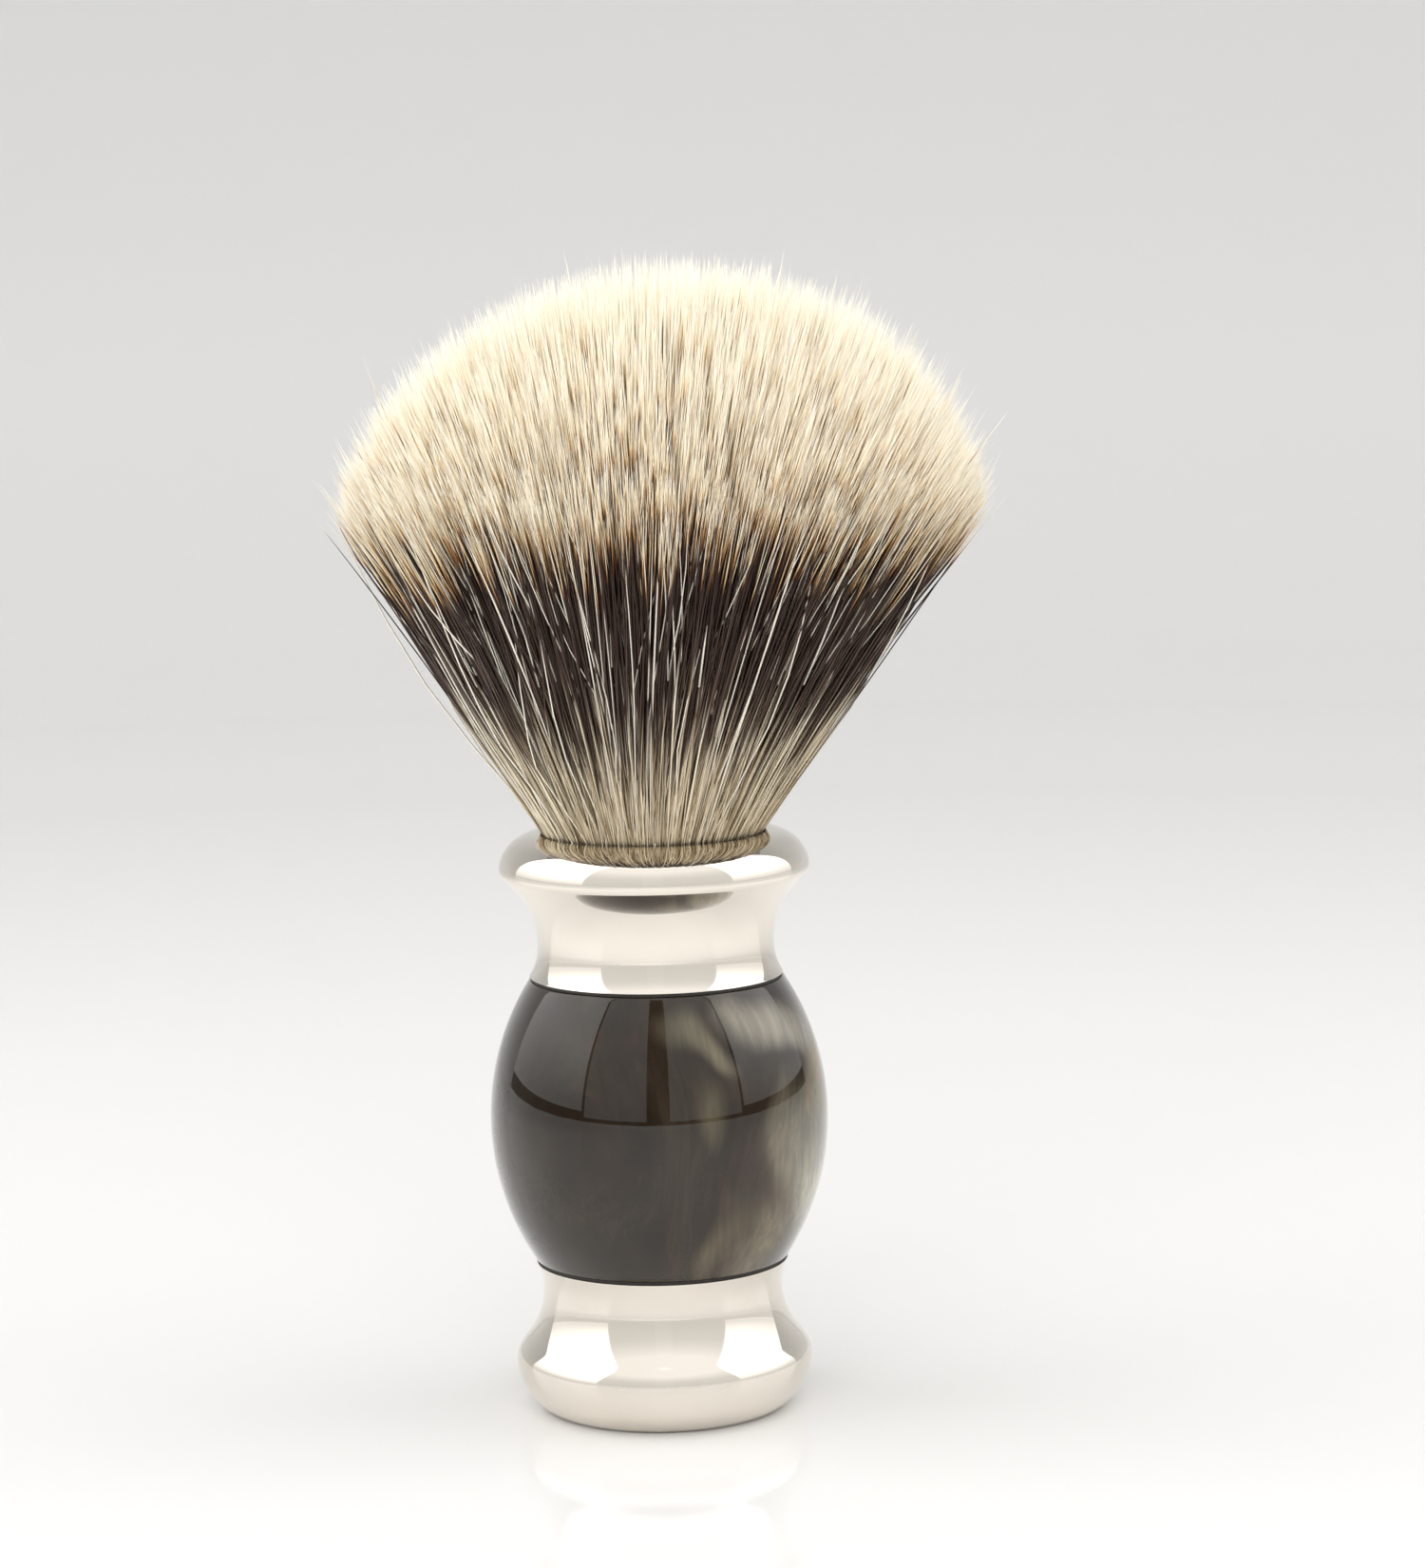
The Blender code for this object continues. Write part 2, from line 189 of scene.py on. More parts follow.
# %% Nodes, materials and groups
def add(tree, kind, inputs=None, **settings):
    """Adds a node, with its properties set and its inputs fed by sockets or plain values."""
    node = tree.nodes.new(kind)
    for name, value in settings.items():
        setattr(node, name, value)
    for key, value in (inputs or {}).items():
        if isinstance(value, bpy.types.NodeSocket):
            tree.links.new(value, node.inputs[key])
        else:
            node.inputs[key].default_value = value
    return node


def new_material(name):
    """A material with its node tree and its Principled shader."""
    material = bpy.data.materials.new(name)
    material.use_nodes = True
    return material, material.node_tree, material.node_tree.nodes["Principled BSDF"]


def new_group(name, inputs, outputs):
    """An empty node group with named sockets, and its two end nodes."""
    group = bpy.data.node_groups.new(name, "ShaderNodeTree")
    for socket_name, kind, value in inputs:
        socket = group.interface.new_socket(socket_name, in_out="INPUT", socket_type=kind)
        if value is not None:
            socket.default_value = value
    for socket_name, kind in outputs:
        group.interface.new_socket(socket_name, in_out="OUTPUT", socket_type=kind)
    return group, group.nodes.new("NodeGroupInput"), group.nodes.new("NodeGroupOutput")


def place_group(tree, group, inputs):
    """A node that holds a group, with its inputs fed."""
    return add(tree, "ShaderNodeGroup", inputs, node_tree=group)


def math_node(tree, operation, first, second=0.5, clamp=False):
    """The result of one sum on two values."""
    node = add(tree, "ShaderNodeMath", {0: first, 1: second}, operation=operation, use_clamp=clamp)
    return node.outputs[0]


def blend_colours(tree, factor, first, second):
    """The first colour at factor 0 and the second at factor 1."""
    return add(tree, "ShaderNodeMix", {0: factor, 6: first, 7: second}, data_type="RGBA").outputs[2]


def ramp(tree, factor, stops):
    """A colour ramp from (place, colour) stops."""
    node = add(tree, "ShaderNodeValToRGB", {0: factor})
    elements = node.color_ramp.elements
    while len(elements) < len(stops):
        elements.new(0.5)
    for element, (place, colour) in zip(elements, stops, strict=True):
        element.position = place
        element.color = (*colour, 1.0)
    return node.outputs[0]


def limits(tree, value, low, high, to_low=0.0, to_high=1.0, smooth=True):
    """Maps low..high to to_low..to_high, softly and without running past the ends."""
    kind = "SMOOTHSTEP" if smooth else "LINEAR"
    inputs = {"Value": value, "From Min": low, "From Max": high, "To Min": to_low, "To Max": to_high}
    return add(tree, "ShaderNodeMapRange", inputs, interpolation_type=kind).outputs[0]


def millimetres(tree):
    """The point being shaded, in millimetres on the brush."""
    place = add(tree, "ShaderNodeTexCoord").outputs["Object"]
    scaled = add(tree, "ShaderNodeVectorMath", {0: place, 3: 1 / MM}, operation="SCALE")
    return scaled.outputs[0]


def stretched(tree, place, size, offset=(0, 0, 0)):
    """The place divided by a size along each axis, for textures that run along the brush."""
    moved = add(tree, "ShaderNodeVectorMath", {0: place, 1: offset}, operation="ADD").outputs[0]
    return add(tree, "ShaderNodeVectorMath", {0: moved, 1: size}, operation="DIVIDE").outputs[0]


def noise(tree, place, detail=2.0, roughness=0.5, distortion=0.0):
    """A noise texture whose size is set by the place that it is given."""
    inputs = {"Vector": place, "Scale": 1.0, "Detail": detail}
    inputs |= {"Roughness": roughness, "Distortion": distortion}
    return add(tree, "ShaderNodeTexNoise", inputs)


def bump(tree, shader, height, strength, depth):
    """Lets a height, worth so many millimetres, tilt the shader's surface."""
    inputs = {"Strength": strength, "Distance": depth * MM, "Height": height}
    tree.links.new(add(tree, "ShaderNodeBump", inputs).outputs[0], shader.inputs["Normal"])


def feed(tree, shader, sockets):
    """Links textures to the shader's named sockets."""
    for name, source in sockets.items():
        tree.links.new(source, shader.inputs[name])


def grained(name, size, stops, strength, depth, **texture):
    """A material whose colour and relief both follow one fine noise."""
    material, tree, shader = new_material(name)
    grain = noise(tree, stretched(tree, millimetres(tree), (size, size, size)), **texture).outputs[0]
    feed(tree, shader, {"Base Color": ramp(tree, grain, stops)})
    bump(tree, shader, grain, strength, depth)
    return material, shader


# %% [markdown]
# ## A finish that is shared: handling marks
# Nothing that is held every morning stays perfectly clean. Fingers leave broad patches that are a little
# less sharp, and cloths leave hair-fine arcs. The same effect is wanted on the plating, on the resin and on
# the steel inside, only with other amounts, so it is a group: it takes the size of the marks, the clean
# roughness and the marked roughness, and gives the roughness and a mask for other uses.

# %% Build the handling marks group
handling_marks, marks_in, marks_out = new_group(
    "handling marks",
    [
        ("Mark Size", "NodeSocketFloat", 9.0),
        ("Clean", "NodeSocketFloat", 0.04),
        ("Marked", "NodeSocketFloat", 0.12),
    ],
    [("Roughness", "NodeSocketFloat"), ("Mask", "NodeSocketFloat")],
)
marks_place = millimetres(handling_marks)
marks_size = marks_in.outputs["Mark Size"]
marks_sizes = add(handling_marks, "ShaderNodeCombineXYZ", {0: marks_size, 1: marks_size, 2: marks_size})
marks_scaled = add(
    handling_marks, "ShaderNodeVectorMath", {0: marks_place, 1: marks_sizes.outputs[0]}, operation="DIVIDE"
).outputs[0]
touched = noise(handling_marks, marks_scaled, 4.0, 0.6, 0.6).outputs[0]
patches = limits(handling_marks, touched, 0.45, 0.75)
wiping = noise(handling_marks, stretched(handling_marks, marks_place, (0.25, 0.25, 3.0)), 3.0).outputs[0]
wiped = limits(handling_marks, wiping, 0.55, 0.8, 0.0, 0.5)
marks_mask = math_node(handling_marks, "MAXIMUM", patches, wiped)
marks_range = {"To Min": marks_in.outputs["Clean"], "To Max": marks_in.outputs["Marked"]}
marks_rough = add(handling_marks, "ShaderNodeMapRange", {"Value": marks_mask, **marks_range}).outputs[0]
handling_marks.links.new(marks_rough, marks_out.inputs["Roughness"])
handling_marks.links.new(marks_mask, marks_out.inputs["Mask"])
print("group:", handling_marks.name)

# %% [markdown]
# ## Bright plating
# The collar and the foot are turned, polished and plated. Their colour comes from what they reflect, so the
# material is a plain metal with a slightly warm tint, almost no roughness, and only a whisper of bump where
# the polished surface is never quite flat. A stronger bump would break the long clean reflections that
# make turned metal look turned.

# %% Make the plating
plating, plating_tree, plating_shader = new_material("bright_plating")
plating_place = millimetres(plating_tree)
tarnish = noise(plating_tree, stretched(plating_tree, plating_place, (14, 14, 9)), 3.0).outputs[0]
plating_colour = ramp(
    plating_tree, tarnish, [(0.3, (0.76, 0.71, 0.635)), (0.7, (0.81, 0.76, 0.685))]
)
plating_marks = place_group(plating_tree, handling_marks, {
    "Mark Size": 11.0, "Clean": 0.035, "Marked": 0.075
})
plating_ripple = noise(plating_tree, stretched(plating_tree, plating_place, (3.5, 3.5, 5)), 1.0).outputs[0]
feed(plating_tree, plating_shader, {
    "Base Color": plating_colour, "Roughness": plating_marks.outputs["Roughness"]
})
bump(plating_tree, plating_shader, plating_ripple, 0.02, 0.2)
plating_shader.inputs["Metallic"].default_value = 1.0
print("plating nodes:", len(plating_tree.nodes))

# %% [markdown]
# ## Imitation horn
# Cast resin that copies horn is mostly a very dark grey-brown, and where the poured colours meet it opens
# into soft strokes of khaki, olive and cream. Noise alone gives the dark body its clouds, but strokes want
# to be placed, as they are by the hand that pours. So each stroke is a soft ellipse with a centre, a slant
# and a size, and a node group turns those into a mask. All strokes look up one place that is bent by a slow
# noise first, so they sway together. A clear coat carries the sharp polish on top.

# %% Build the stroke group
stroke_group, stroke_in, stroke_out = new_group(
    "soft stroke",
    [
        ("Place", "NodeSocketVector", None), ("Centre", "NodeSocketVector", None),
        ("Turn", "NodeSocketFloat", 0.0), ("Half Size", "NodeSocketVector", None),
    ],
    [("Mask", "NodeSocketFloat")],
)
stroke_from = add(stroke_group, "ShaderNodeVectorMath", {
    0: stroke_in.outputs["Place"], 1: stroke_in.outputs["Centre"]
}, operation="SUBTRACT").outputs[0]
stroke_turned = add(stroke_group, "ShaderNodeVectorRotate", {
    "Vector": stroke_from, "Angle": stroke_in.outputs["Turn"]
}, rotation_type="Y_AXIS").outputs[0]
stroke_scaled = add(stroke_group, "ShaderNodeVectorMath", {
    0: stroke_turned, 1: stroke_in.outputs["Half Size"]
}, operation="DIVIDE").outputs[0]
stroke_reach = add(stroke_group, "ShaderNodeVectorMath", {0: stroke_scaled}, operation="LENGTH")
stroke_mask = limits(stroke_group, stroke_reach.outputs["Value"], 1.0, 0.1)
stroke_group.links.new(stroke_mask, stroke_out.inputs["Mask"])
print("group:", stroke_group.name)

# %% Make the horn resin
horn, horn_tree, horn_shader = new_material("horn_resin")
horn_place = millimetres(horn_tree)


def swayed(amount, size, offset):
    """The place, pushed about by a slow noise as poured colour is."""
    slow = noise(horn_tree, stretched(horn_tree, horn_place, size, offset), 1.0, 0.35).outputs["Color"]
    centred = add(horn_tree, "ShaderNodeVectorMath", {0: slow, 1: (0.5, 0.5, 0.5)}, operation="SUBTRACT")
    push = add(horn_tree, "ShaderNodeVectorMath", {0: centred.outputs[0], 3: amount}, operation="SCALE")
    return add(
        horn_tree, "ShaderNodeVectorMath", {0: horn_place, 1: push.outputs[0]}, operation="ADD"
    ).outputs[0]


poured = swayed(14.0, (17, 17, 21), (3, 8, 1))
stroke_place = swayed(6.5, (8, 8, 9), (9, 4, 2))


def horn_streaks(size, offset, low, high, detail=3.0):
    """A mask of streaks of one size in the poured resin."""
    value = noise(horn_tree, stretched(horn_tree, poured, size, offset), detail, 0.55).outputs[0]
    return limits(horn_tree, value, low, high)


clouds = horn_streaks((7, 7, 15), (11, 2, 5), 0.35, 0.70)
veins = horn_streaks((1.3, 1.3, 13), (31, 7, 3), 0.36, 0.66, 4.0)
russet = horn_streaks((2.6, 2.6, 12), (5, 19, 40), 0.56, 0.74)

DARK_HORN = (0.013, 0.0078, 0.0042)
SMOKE_HORN = (0.029, 0.0205, 0.013)
RUSSET_HORN = (0.040, 0.018, 0.011)
STROKES = [  # colour, centre and half size across and up in millimetres, slant in degrees
    ((0.026, 0.019, 0.013), (-3.4, 21.0), (9.5, 4.6), 38),
    ((0.11, 0.098, 0.062), (2.6, 37.2), (4.2, 2.0), -22),
    ((0.15, 0.133, 0.088), (5.0, 35.4), (4.2, 1.8), -44),
    ((0.075, 0.064, 0.038), (4.4, 29.8), (6.0, 2.0), -74),
    ((0.22, 0.198, 0.155), (9.6, 37.4), (5.4, 2.4), -12),
    ((0.26, 0.238, 0.190), (12.2, 35.4), (5.2, 2.7), -30),
    ((0.20, 0.150, 0.060), (14.8, 32.5), (6.0, 1.7), 82),
    ((0.17, 0.150, 0.105), (11.0, 26.0), (7.0, 2.6), 80),
    ((0.37, 0.345, 0.260), (14.2, 21.0), (11.0, 4.8), 84),
    ((0.17, 0.138, 0.085), (8.6, 18.2), (8.0, 2.9), 76),
    ((0.105, 0.082, 0.048), (4.8, 17.2), (6.0, 2.2), 62),
    ((0.028, 0.015, 0.011), (8.6, 24.2), (5.4, 1.8), 82),
    ((0.030, 0.018, 0.012), (6.6, 32.4), (3.6, 1.8), -24),
]

horn_colour = blend_colours(horn_tree, clouds, (*DARK_HORN, 1), (*SMOKE_HORN, 1))
horn_colour = blend_colours(
    horn_tree, math_node(horn_tree, "MULTIPLY", russet, 0.7), horn_colour, (*RUSSET_HORN, 1)
)
vein_strength = limits(horn_tree, veins, 0.0, 1.0, 0.74, 1.0, smooth=False)
for colour, (across, up), (half_long, half_wide), slant in STROKES:
    stroke = place_group(horn_tree, stroke_group, {
        "Place": stroke_place, "Centre": (across, 0, up), "Turn": math.radians(slant),
        "Half Size": (half_long, 60.0, half_wide),
    }).outputs[0]
    stroke = math_node(horn_tree, "MULTIPLY", stroke, vein_strength)
    horn_colour = blend_colours(horn_tree, stroke, horn_colour, (*colour, 1))
grain = noise(horn_tree, stretched(horn_tree, poured, (0.7, 0.7, 9)), 4.0, 0.6).outputs[0]
grain_shade = limits(horn_tree, grain, 0.3, 0.7, 0.84, 1.16)
horn_colour = add(
    horn_tree, "ShaderNodeVectorMath", {0: horn_colour, 3: grain_shade}, operation="SCALE"
).outputs[0]
horn_marks = place_group(horn_tree, handling_marks, {"Mark Size": 8.0, "Clean": 0.22, "Marked": 0.34})
horn_ripple = noise(horn_tree, stretched(horn_tree, horn_place, (3.5, 3.5, 5)), 1.0).outputs[0]
feed(horn_tree, horn_shader, {"Base Color": horn_colour, "Roughness": horn_marks.outputs["Roughness"]})
bump(horn_tree, horn_shader, horn_ripple, 0.006, 0.2)
horn_shader.inputs["Specular IOR Level"].default_value = 0.1
horn_shader.inputs["Coat Weight"].default_value = 1.0
horn_shader.inputs["Coat Roughness"].default_value = 0.015
horn_shader.inputs["Coat IOR"].default_value = 1.46
print("horn nodes:", len(horn_tree.nodes))

# %% [markdown]
# ## The hidden materials
# Taken apart, the brush shows zinc-plated steel, set glue, waxed twine and felt. They get the same care as
# the outside. Steel has the fine rings that a lathe leaves, glue is amber and a little cloudy, twine is
# laid in a slant with painted shade in the grooves between its plies, and pressed felt is matt with short
# loose fibres.

# %% Make the steel and the seals
steel, steel_tree, steel_shader = new_material("plated_steel")
steel_place = millimetres(steel_tree)
steel_rings = noise(steel_tree, stretched(steel_tree, steel_place, (6, 6, 0.12)), 2.0).outputs[0]
steel_mottle = noise(steel_tree, stretched(steel_tree, steel_place, (1.4, 1.4, 1.4)), 3.0).outputs[0]
steel_colour = ramp(steel_tree, steel_mottle, [(0.3, (0.50, 0.50, 0.50)), (0.7, (0.66, 0.66, 0.68))])
steel_marks = place_group(steel_tree, handling_marks, {"Mark Size": 3.0, "Clean": 0.28, "Marked": 0.45})
feed(steel_tree, steel_shader, {"Base Color": steel_colour, "Roughness": steel_marks.outputs["Roughness"]})
bump(steel_tree, steel_shader, steel_rings, 0.25, 0.05)
steel_shader.inputs["Metallic"].default_value = 1.0

RUBBER_BLACKS = [(0.3, (0.006, 0.005, 0.004)), (0.7, (0.02, 0.017, 0.013))]
rubber, rubber_shader = grained("seal_rubber", 0.3, RUBBER_BLACKS, 0.3, 0.05, detail=3.0)
rubber_shader.inputs["Roughness"].default_value = 0.55

# %% Make the glue, the twine and the felt
GLUE_AMBERS = [(0.35, (0.36, 0.22, 0.07)), (0.65, (0.62, 0.47, 0.22))]
glue, glue_shader = grained("set_glue", 2.6, GLUE_AMBERS, 0.3, 0.2, detail=4.0)
glue_shader.inputs["Roughness"].default_value = 0.22
glue_shader.inputs["Subsurface Weight"].default_value = 0.2
glue_shader.inputs["Subsurface Radius"].default_value = (0.0015, 0.0008, 0.0003)

FELT_BLACKS = [(0.35, (0.010, 0.010, 0.011)), (0.7, (0.055, 0.054, 0.056))]
FELT_FIBRES = {"detail": 6.0, "roughness": 0.75, "distortion": 1.5}
felt, felt_shader = grained("base_felt", 0.35, FELT_BLACKS, 0.9, 0.25, **FELT_FIBRES)
felt_shader.inputs["Roughness"].default_value = 0.95
felt_shader.inputs["Sheen Weight"].default_value = 0.3

PLIES_ROUND = 70.0  # how many times a ply of the twine shows along one turn
PLY_SLANT = 6.0
twine, twine_tree, twine_shader = new_material("waxed_twine")
twine_place = add(twine_tree, "ShaderNodeSeparateXYZ", {0: millimetres(twine_tree)})
twine_turn = math_node(twine_tree, "ARCTAN2", twine_place.outputs[1], twine_place.outputs[0])
twine_lay = math_node(twine_tree, "MULTIPLY", twine_turn, PLIES_ROUND)
twine_rise = math_node(twine_tree, "MULTIPLY", twine_place.outputs[2], PLY_SLANT)
twine_ply = math_node(twine_tree, "SINE", math_node(twine_tree, "ADD", twine_lay, twine_rise))
twine_ridge = limits(twine_tree, twine_ply, -1.0, 1.0)
# The colour follows the ply ridges and is dark in the grooves: painted shade between the plies.
twine_colour_and_groove_shade = ramp(twine_tree, twine_ridge, [(0.0, (0.32, 0.25, 0.15)), (1.0, (0.72, 0.63, 0.46))])
feed(twine_tree, twine_shader, {"Base Color": twine_colour_and_groove_shade})
bump(twine_tree, twine_shader, twine_ridge, 0.8, 0.15)
twine_shader.inputs["Roughness"].default_value = 0.6
print("materials:", sorted(m.name for m in bpy.data.materials))

# %% Give the inner pieces their finish
CARRIED_OVER = {
    "tie_stud": steel, "flat_washer": steel, "lock_washer": steel, "stud_nut": steel,
    "knot_plug": glue, "knot_tie": twine, "base_disc": felt,
}
for node_name, material in CARRIED_OVER.items():
    node_mesh = frame["nodes"][node_name].data
    node_mesh.materials.clear()
    node_mesh.materials.append(material)
print("carried over from the frame:", ", ".join(CARRIED_OVER))

# %% [markdown]
# ## The foot
# The foot is one turned piece: a waist, a round rim that throws the light up, and a narrow flat ring to
# stand on. It could be carved from a cylinder with sculpting or bevels, but a profile is how a turner would
# draw it, and long Bezier spans keep its reflections free of kinks. Each span has its two ends and the two
# handles between them, and neighbours share a direction where they meet. Underneath, the foot has the recess
# for the disc and the well for the nut, and above it the spigot that plugs into the grip.

# %% Turn the foot
JOINT_RADIUS = 11.65 * MM
SPIGOT_RADIUS = 8.0 * MM
STUD_BORE = 3.3 * MM
FOOT_WAIST = (11.0 * MM, 11.3 * MM)
FOOT_SHOULDER = (12.75 * MM, 6.6 * MM)
FOOT_RIM = (foot_box[1].x, 4.7 * MM)
REST_RADIUS = 10.4 * MM
RECESS_RADIUS = 9.5 * MM
RECESS_DEPTH = 1.6 * MM
WELL_RADIUS = 7.5 * MM
WELL_DEPTH = 11.0 * MM

foot_top = LOWER_JOINT - JOINT_GAP / 2
foot_profile = [
    (STUD_BORE, foot_box[1].z), (SPIGOT_RADIUS, foot_box[1].z), (SPIGOT_RADIUS, foot_top),
    *curve((JOINT_RADIUS, foot_top), (11.25 * MM, 13.1 * MM), (FOOT_WAIST[0], 12.3 * MM), FOOT_WAIST),
    *curve(FOOT_WAIST, (FOOT_WAIST[0], 9.3 * MM), (11.9 * MM, 7.7 * MM), FOOT_SHOULDER),
    *curve(FOOT_SHOULDER, (13.3 * MM, 5.9 * MM), (FOOT_RIM[0], 5.4 * MM), FOOT_RIM),
    *curve(FOOT_RIM, (FOOT_RIM[0], 2.6 * MM), (12.1 * MM, 0.3 * MM), (REST_RADIUS, 0)),
    (RECESS_RADIUS, 0), (RECESS_RADIUS, RECESS_DEPTH), (WELL_RADIUS, RECESS_DEPTH),
    (WELL_RADIUS, WELL_DEPTH), (STUD_BORE, WELL_DEPTH),
]
foot = turned("polished_foot", foot_profile, plating, closed=True)
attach(foot, "handle")
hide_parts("foot")

# %% [markdown]
# ## The grip
# The grip's whole outline is one circular arc from joint to joint. Its ends are crisp, with a tiny round
# that catches a thin light along each joint. Inside it is bored for the stud and counterbored for the two
# spigots, as it would be if the brush came apart.

# %% Turn the grip
grip_top, grip_bottom = barrel_box[1].z, barrel_box[0].z
half_height = (grip_top - grip_bottom) / 2
bulge = barrel_box[1].x - JOINT_RADIUS
arc_radius = (half_height**2 + bulge**2) / (2 * bulge)
arc_centre = (barrel_box[1].x - arc_radius, (grip_top + grip_bottom) / 2)
arc_sweep = math.degrees(math.asin(half_height / arc_radius))
REBATE_RADIUS = seal_box[1].x + JOINT_GAP
REBATE_DEPTH = seal_box[1].z - seal_box[0].z + JOINT_GAP
COUNTERBORE = SPIGOT_RADIUS + JOINT_GAP
WEB_BORE = 3.5 * MM
web_top, web_bottom = collar_box[0].z - JOINT_GAP, foot_box[1].z + JOINT_GAP

grip_profile = [
    (REBATE_RADIUS, grip_top),
    *arc(arc_centre, (arc_radius, arc_radius), arc_sweep, -arc_sweep, steps=60),
    (REBATE_RADIUS, grip_bottom), (REBATE_RADIUS, grip_bottom + REBATE_DEPTH),
    (COUNTERBORE, grip_bottom + REBATE_DEPTH), (COUNTERBORE, web_bottom), (WEB_BORE, web_bottom),
    (WEB_BORE, web_top), (COUNTERBORE, web_top), (COUNTERBORE, grip_top - REBATE_DEPTH),
    (REBATE_RADIUS, grip_top - REBATE_DEPTH),
]
grip = turned("horn_grip", grip_profile, horn, edge=0.12 * MM, closed=True)
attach(grip, "handle")
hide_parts("barrel")

# %% [markdown]
# ## The collar
# The collar flares from a waist into a rolled lip and carries the knot in its socket. The lip's top is a
# quarter of an ellipse, which spreads the mirrored hair into a soft fringe, and its lower edge turns in
# tightly, so the waist below it mirrors the dark grip as a crescent.

# %% Turn the collar
LIP = (collar_box[1].x, 50.2 * MM)
LIP_EDGE = 0.9 * MM
MOUTH_RADIUS = 10.5 * MM
SOCKET_RADIUS = 9.6 * MM
SOCKET_FLOOR = 42.0 * MM
COLLAR_WAIST = (10.85 * MM, 43.3 * MM)
TAPPED_TOP = collar_box[0].z + 7.3 * MM

collar_bottom = UPPER_JOINT + JOINT_GAP / 2
mouth_edge = (MOUTH_RADIUS, MOUTH.z)
lip_under = arc((LIP[0] - LIP_EDGE, LIP[1]), (LIP_EDGE, LIP_EDGE), 0, -46)
collar_profile = [
    (0, SOCKET_FLOOR), (SOCKET_RADIUS, SOCKET_FLOOR),
    *curve((SOCKET_RADIUS, 51.6 * MM), (SOCKET_RADIUS, 52.6 * MM), (9.9 * MM, MOUTH.z), mouth_edge),
    *arc((MOUTH_RADIUS, LIP[1]), (LIP[0] - MOUTH_RADIUS, MOUTH.z - LIP[1]), 90, 0, steps=28),
    *lip_under,
    *curve(lip_under[-1], (12.3 * MM, 47.97 * MM), (COLLAR_WAIST[0], 46.3 * MM), COLLAR_WAIST, steps=28),
    *curve(COLLAR_WAIST, (COLLAR_WAIST[0], 42.2 * MM), (11.1 * MM, 41.1 * MM), (JOINT_RADIUS, collar_bottom)),
    (SPIGOT_RADIUS, collar_bottom), (SPIGOT_RADIUS, collar_box[0].z), (STUD_BORE, collar_box[0].z),
    (STUD_BORE, TAPPED_TOP), (0, TAPPED_TOP),
]
collar = turned("polished_collar", collar_profile, plating, edge=0.12 * MM)
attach(collar, "handle")
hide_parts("collar")

# %% [markdown]
# ## The dark lines at the joints
# Between resin and metal lies a thin black washer. Only its edge shows, as a dark line drawn round the
# handle. The visible washer reaches almost to the outside, a hair short of it, so a real groove holds the
# shadow.

# %% Turn the two seals
SEAL_SET_BACK = 0.12 * MM


def joint_seal(name, node_name, joint_height, outward):
    """A washer with a wide flange in the joint and a narrower foot in the grip's rebate."""
    node_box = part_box(node_name)
    inner = 8.6 * MM
    flange = JOINT_RADIUS - SEAL_SET_BACK
    metal, resin = joint_height + outward * 0.13 * MM, joint_height - outward * 0.13 * MM
    deep = node_box[0].z if outward > 0 else node_box[1].z
    outline = [(inner, metal), (flange, metal), (flange, resin), (node_box[1].x, resin)]
    outline += [(node_box[1].x, deep), (inner, deep)]
    if outward < 0:
        outline.reverse()
    seal = turned(name, outline, rubber, edge=0.04 * MM, closed=True)
    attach(seal, "handle")
    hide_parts(node_name)


joint_seal("seal_at_collar", "upper_seal", UPPER_JOINT, 1)
joint_seal("seal_at_foot", "lower_seal", LOWER_JOINT, -1)

# %% [markdown]
# ## The knot of hair
# Blender has a hair system, but it makes curves that exist only when rendered. This brush also has to be a
# plain mesh, so each hair is built as a slim three-sided tube. Several thousand tubes are cheap when numpy
# computes all of them at once: every hair is one row in an array, and every ring along it is one column.
#
# A knot is glued as a parallel bundle and fans out from the mouth. Each hair leaves the mouth in the
# direction from a point below it, curves outwards a little, and ends on the dome that the maker trimmed or
# shaped. The first step is that path, for any hair at any distance from the mouth.

# %% The fan and the dome, in millimetres
rng = np.random.default_rng(21)

MOUTH_Z = MOUTH.z / MM
BUNDLE_RADIUS = 10.15  # the hair at the mouth, just inside the collar's edge
ROOT_DEPTH = 3.5
ROOT_RADIUS = 9.0
FAN_SLOPE = 0.585  # sideways per upwards, for the outermost hair at the mouth
FAN_CURL = 0.0015  # how much the outermost hair curves outwards
LEAN = math.tan(math.radians(3.2))
LEAN_START = 8.0

dome_radius = bloom_box[1].x / MM
dome_height = 24.5
dome_centre = bloom_box[1].z / MM - dome_height


def fan_path(share, azimuth, along, tilt, swing):
    """Places along hairs. share is the start's distance from the axis, 0 to 1, and along is in mm."""
    slope = np.arctan(FAN_SLOPE * share) + tilt
    start = BUNDLE_RADIUS * share
    inside = np.minimum(along, 0.0) / ROOT_DEPTH
    outside = np.maximum(along, 0.0)
    curl = FAN_CURL * share * outside**2
    radial = start + outside * np.sin(slope) + curl * np.cos(slope)
    radial += inside * (BUNDLE_RADIUS - ROOT_RADIUS) * share
    up = outside * np.cos(slope) - curl * np.sin(slope) + inside * ROOT_DEPTH
    sideways = outside * np.sin(swing)
    x = radial * np.cos(azimuth) - sideways * np.sin(azimuth)
    y = radial * np.sin(azimuth) + sideways * np.cos(azimuth)
    return np.stack([x, y, MOUTH_Z + up], axis=-1)


def hair_length(share):
    """The length at which an untilted hair reaches the dome, found by halving."""
    low, high = np.full(share.shape, 15.0), np.full(share.shape, 60.0)
    zero = np.zeros(share.shape)
    for _ in range(30):
        middle = (low + high) / 2
        tip = fan_path(share, zero, middle, zero, zero)
        inside = (tip[..., 0] / dome_radius) ** 2 + ((tip[..., 2] - dome_centre) / dome_height) ** 2 < 1
        low, high = np.where(inside, middle, low), np.where(inside, high, middle)
    return low


